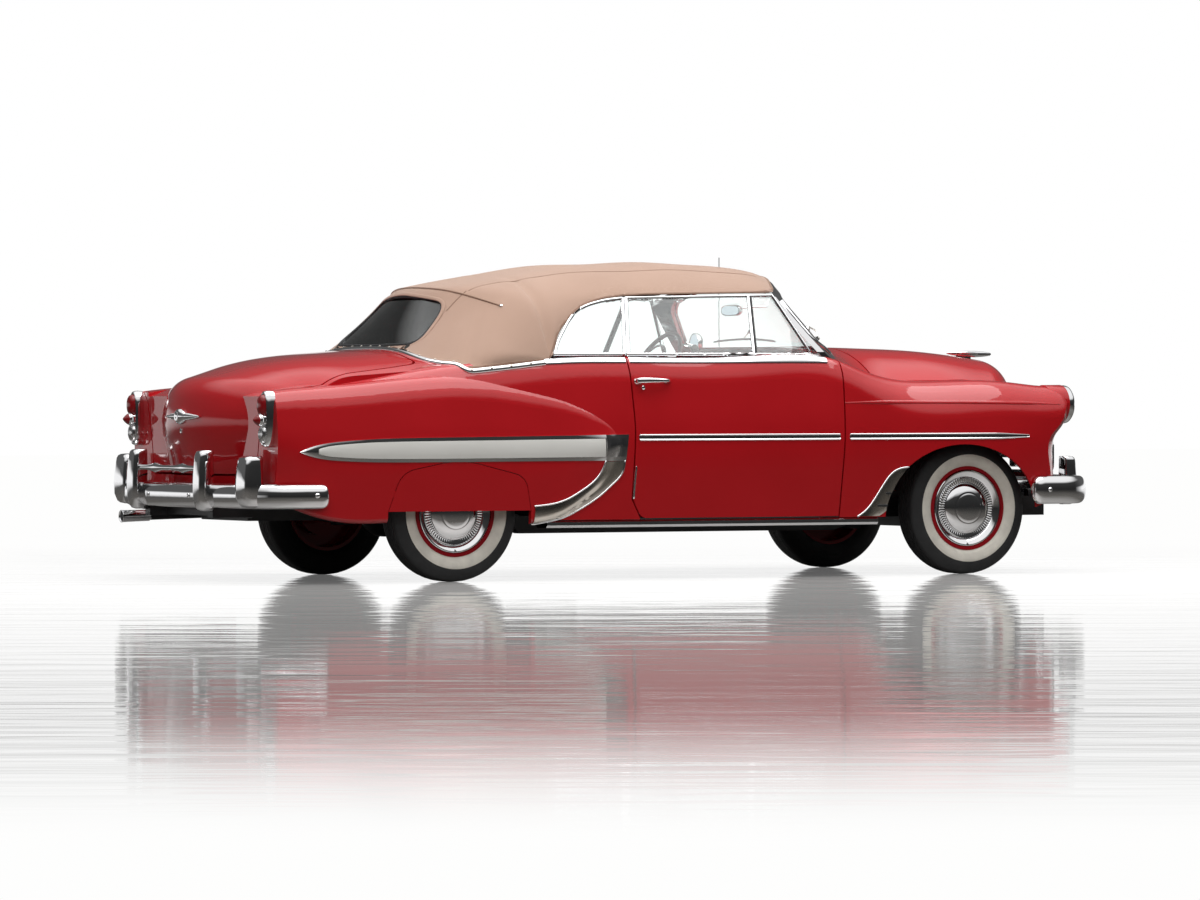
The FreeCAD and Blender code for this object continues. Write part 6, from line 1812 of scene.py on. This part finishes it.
def set_camera():
    """A long lens low behind the right side of the car."""
    data = bpy.data.cameras.new("camera")
    data.sensor_width = 36.0
    data.lens = 198.99
    data.clip_end = 200.0
    camera = bpy.data.objects.new("camera", data)
    bpy.context.scene.collection.objects.link(camera)
    camera.location = (-15.488, -30.064, 0.9377)
    turn = Matrix.Rotation(-VIEW_TURN, 4, "Z")
    tilt = Matrix.Rotation(math.pi / 2 - 0.0089387, 4, "X")
    roll = Matrix.Rotation(-0.000922, 4, "Z")
    camera.rotation_euler = (turn @ tilt @ roll).to_euler()
    bpy.context.scene.camera = camera


def floor_shader(material):
    """A pale wet floor: it mirrors the car in broken streaks and fades to plain white towards the viewer."""
    nodes, links = material.node_tree.nodes, material.node_tree.links
    shader = nodes["Principled BSDF"]
    shader.inputs["Roughness"].default_value = 0.045
    shader.inputs["IOR"].default_value = 1.45
    place = nodes.new("ShaderNodeTexCoord").outputs["Object"]
    in_view = mapped(nodes, links, place, Rotation=(0.0, 0.0, VIEW_TURN))
    ripples = add_node(nodes, "TexNoise", Scale=1.0, Detail=3.0, Roughness=0.6)
    links.new(mapped(nodes, links, in_view, Scale=(0.55, 2.3, 1.0)), ripples.inputs["Vector"])
    bump(nodes, links, shader, ripples.outputs["Fac"], 0.004, 1.0)
    split = nodes.new("ShaderNodeSeparateXYZ")
    links.new(in_view, split.inputs["Vector"])
    fade = span(nodes, links, split.outputs["Y"], -14.0, -20.0, 0.10, 1.0, smooth=True)
    for axis, start, end in (("Y", 1.5, 7.0), ("X", 2.6, 4.0), ("X", -2.6, -4.0)):
        edge = span(nodes, links, split.outputs[axis], start, end, smooth=True)
        fade = maths(nodes, links, "MAXIMUM", fade, edge)
    path = nodes.new("ShaderNodeLightPath").outputs
    seen = maths(nodes, links, "MAXIMUM", path["Is Camera Ray"], path["Is Transmission Ray"])
    # under and beside the car, metal sees the floor darker than the camera does
    distance = nodes.new("ShaderNodeVectorMath")
    distance.operation = "LENGTH"
    links.new(mapped(nodes, links, place, Scale=(1 / 3.4, 1 / 2.4, 0.0)), distance.inputs[0])
    close = span(nodes, links, distance.outputs["Value"], 0.60, 0.98, 0.60, 0.0)
    in_metal = maths(nodes, links, "MULTIPLY_ADD", path["Is Glossy Ray"], close, seen)
    pale = colour_mix(nodes, links, in_metal, (0.12, 0.113, 0.103, 1), (0.86, 0.85, 0.83, 1))
    links.new(pale, shader.inputs["Base Color"])
    white = add_node(nodes, "Emission", Color=(0.99, 0.99, 0.985, 1.0), Strength=1.0)
    mixed = nodes.new("ShaderNodeMixShader")
    links.new(maths(nodes, links, "MULTIPLY", fade, seen), mixed.inputs["Fac"])
    links.new(shader.outputs["BSDF"], mixed.inputs[1])
    links.new(white.outputs["Emission"], mixed.inputs[2])
    links.new(mixed.outputs["Shader"], nodes["Material Output"].inputs["Surface"])


def set_floor():
    mesh = bpy.data.meshes.new("floor")
    reach = 60.0
    mesh.from_pydata(
        [(-reach, -reach, 0), (reach, -reach, 0), (reach, reach, 0), (-reach, reach, 0)], [], [(0, 1, 2, 3)]
    )
    floor = bpy.data.objects.new("floor", mesh)
    bpy.context.scene.collection.objects.link(floor)
    material, _, _, _ = new_material("floor")
    floor_shader(material)
    mesh.materials.append(material)


def set_light():
    """A white studio: plain light, with darker bands low on both sides for the metal to show."""
    world = bpy.data.worlds.new("studio")
    bpy.context.scene.world = world
    world.use_nodes = True
    nodes, links = world.node_tree.nodes, world.node_tree.links
    background = nodes["Background"]
    path = nodes.new("ShaderNodeLightPath").outputs
    split = nodes.new("ShaderNodeSeparateXYZ")
    links.new(nodes.new("ShaderNodeTexCoord").outputs["Generated"], split.inputs["Vector"])
    height = split.outputs["Z"]
    near_side = greys(nodes, links, height, ((0.0, 0.02), (0.34, 0.04), (0.48, 0.90), (0.75, 1.0)))
    far_side = greys(nodes, links, height, ((0.045, 1.0), (0.09, 0.10), (0.50, 0.10), (0.66, 0.95)))
    far = span(nodes, links, split.outputs["Y"], -0.25, 0.30)
    mirrored = colour_mix(nodes, links, far, near_side, far_side)
    plain = greys(nodes, links, height, ((0.0, 0.06), (0.35, 0.50), (1.0, 0.50)))
    level = colour_mix(nodes, links, path["Is Glossy Ray"], plain, mirrored)
    # white behind glass only for a ray straight from the camera, so that reflections inside the glass stay dark
    bounces = maths(nodes, links, "ADD", path["Diffuse Depth"], path["Glossy Depth"])
    straight = maths(nodes, links, "LESS_THAN", bounces, 0.5)
    through = maths(nodes, links, "MULTIPLY", path["Is Transmission Ray"], straight)
    seen = maths(nodes, links, "MAXIMUM", path["Is Camera Ray"], through)
    links.new(colour_mix(nodes, links, seen, level, (1, 1, 1, 1)), background.inputs["Color"])
    background.inputs["Strength"].default_value = 1.0
    for name, place, aim, size, power, mirrored in (
        ("overhead", (0.0, -1.3, 4.9), (0.0, -1.0, 0), (9.0, 4.6), 330.0, True),
        ("side_fill", (-3.0, -10.0, 4.9), (0, 0, 0.8), (14.0, 3.2), 190.0, False),
    ):
        data = bpy.data.lights.new(name, "AREA")
        data.shape = "RECTANGLE"
        data.size, data.size_y = size
        data.energy = power
        lamp = bpy.data.objects.new(name, data)
        bpy.context.scene.collection.objects.link(lamp)
        lamp.location = place
        lamp.visible_glossy = mirrored
        lamp.rotation_euler = (Vector(aim) - Vector(place)).to_track_quat("-Z", "Y").to_euler()


set_camera()
set_floor()
set_light()
bpy.context.scene.view_settings.view_transform = "Standard"
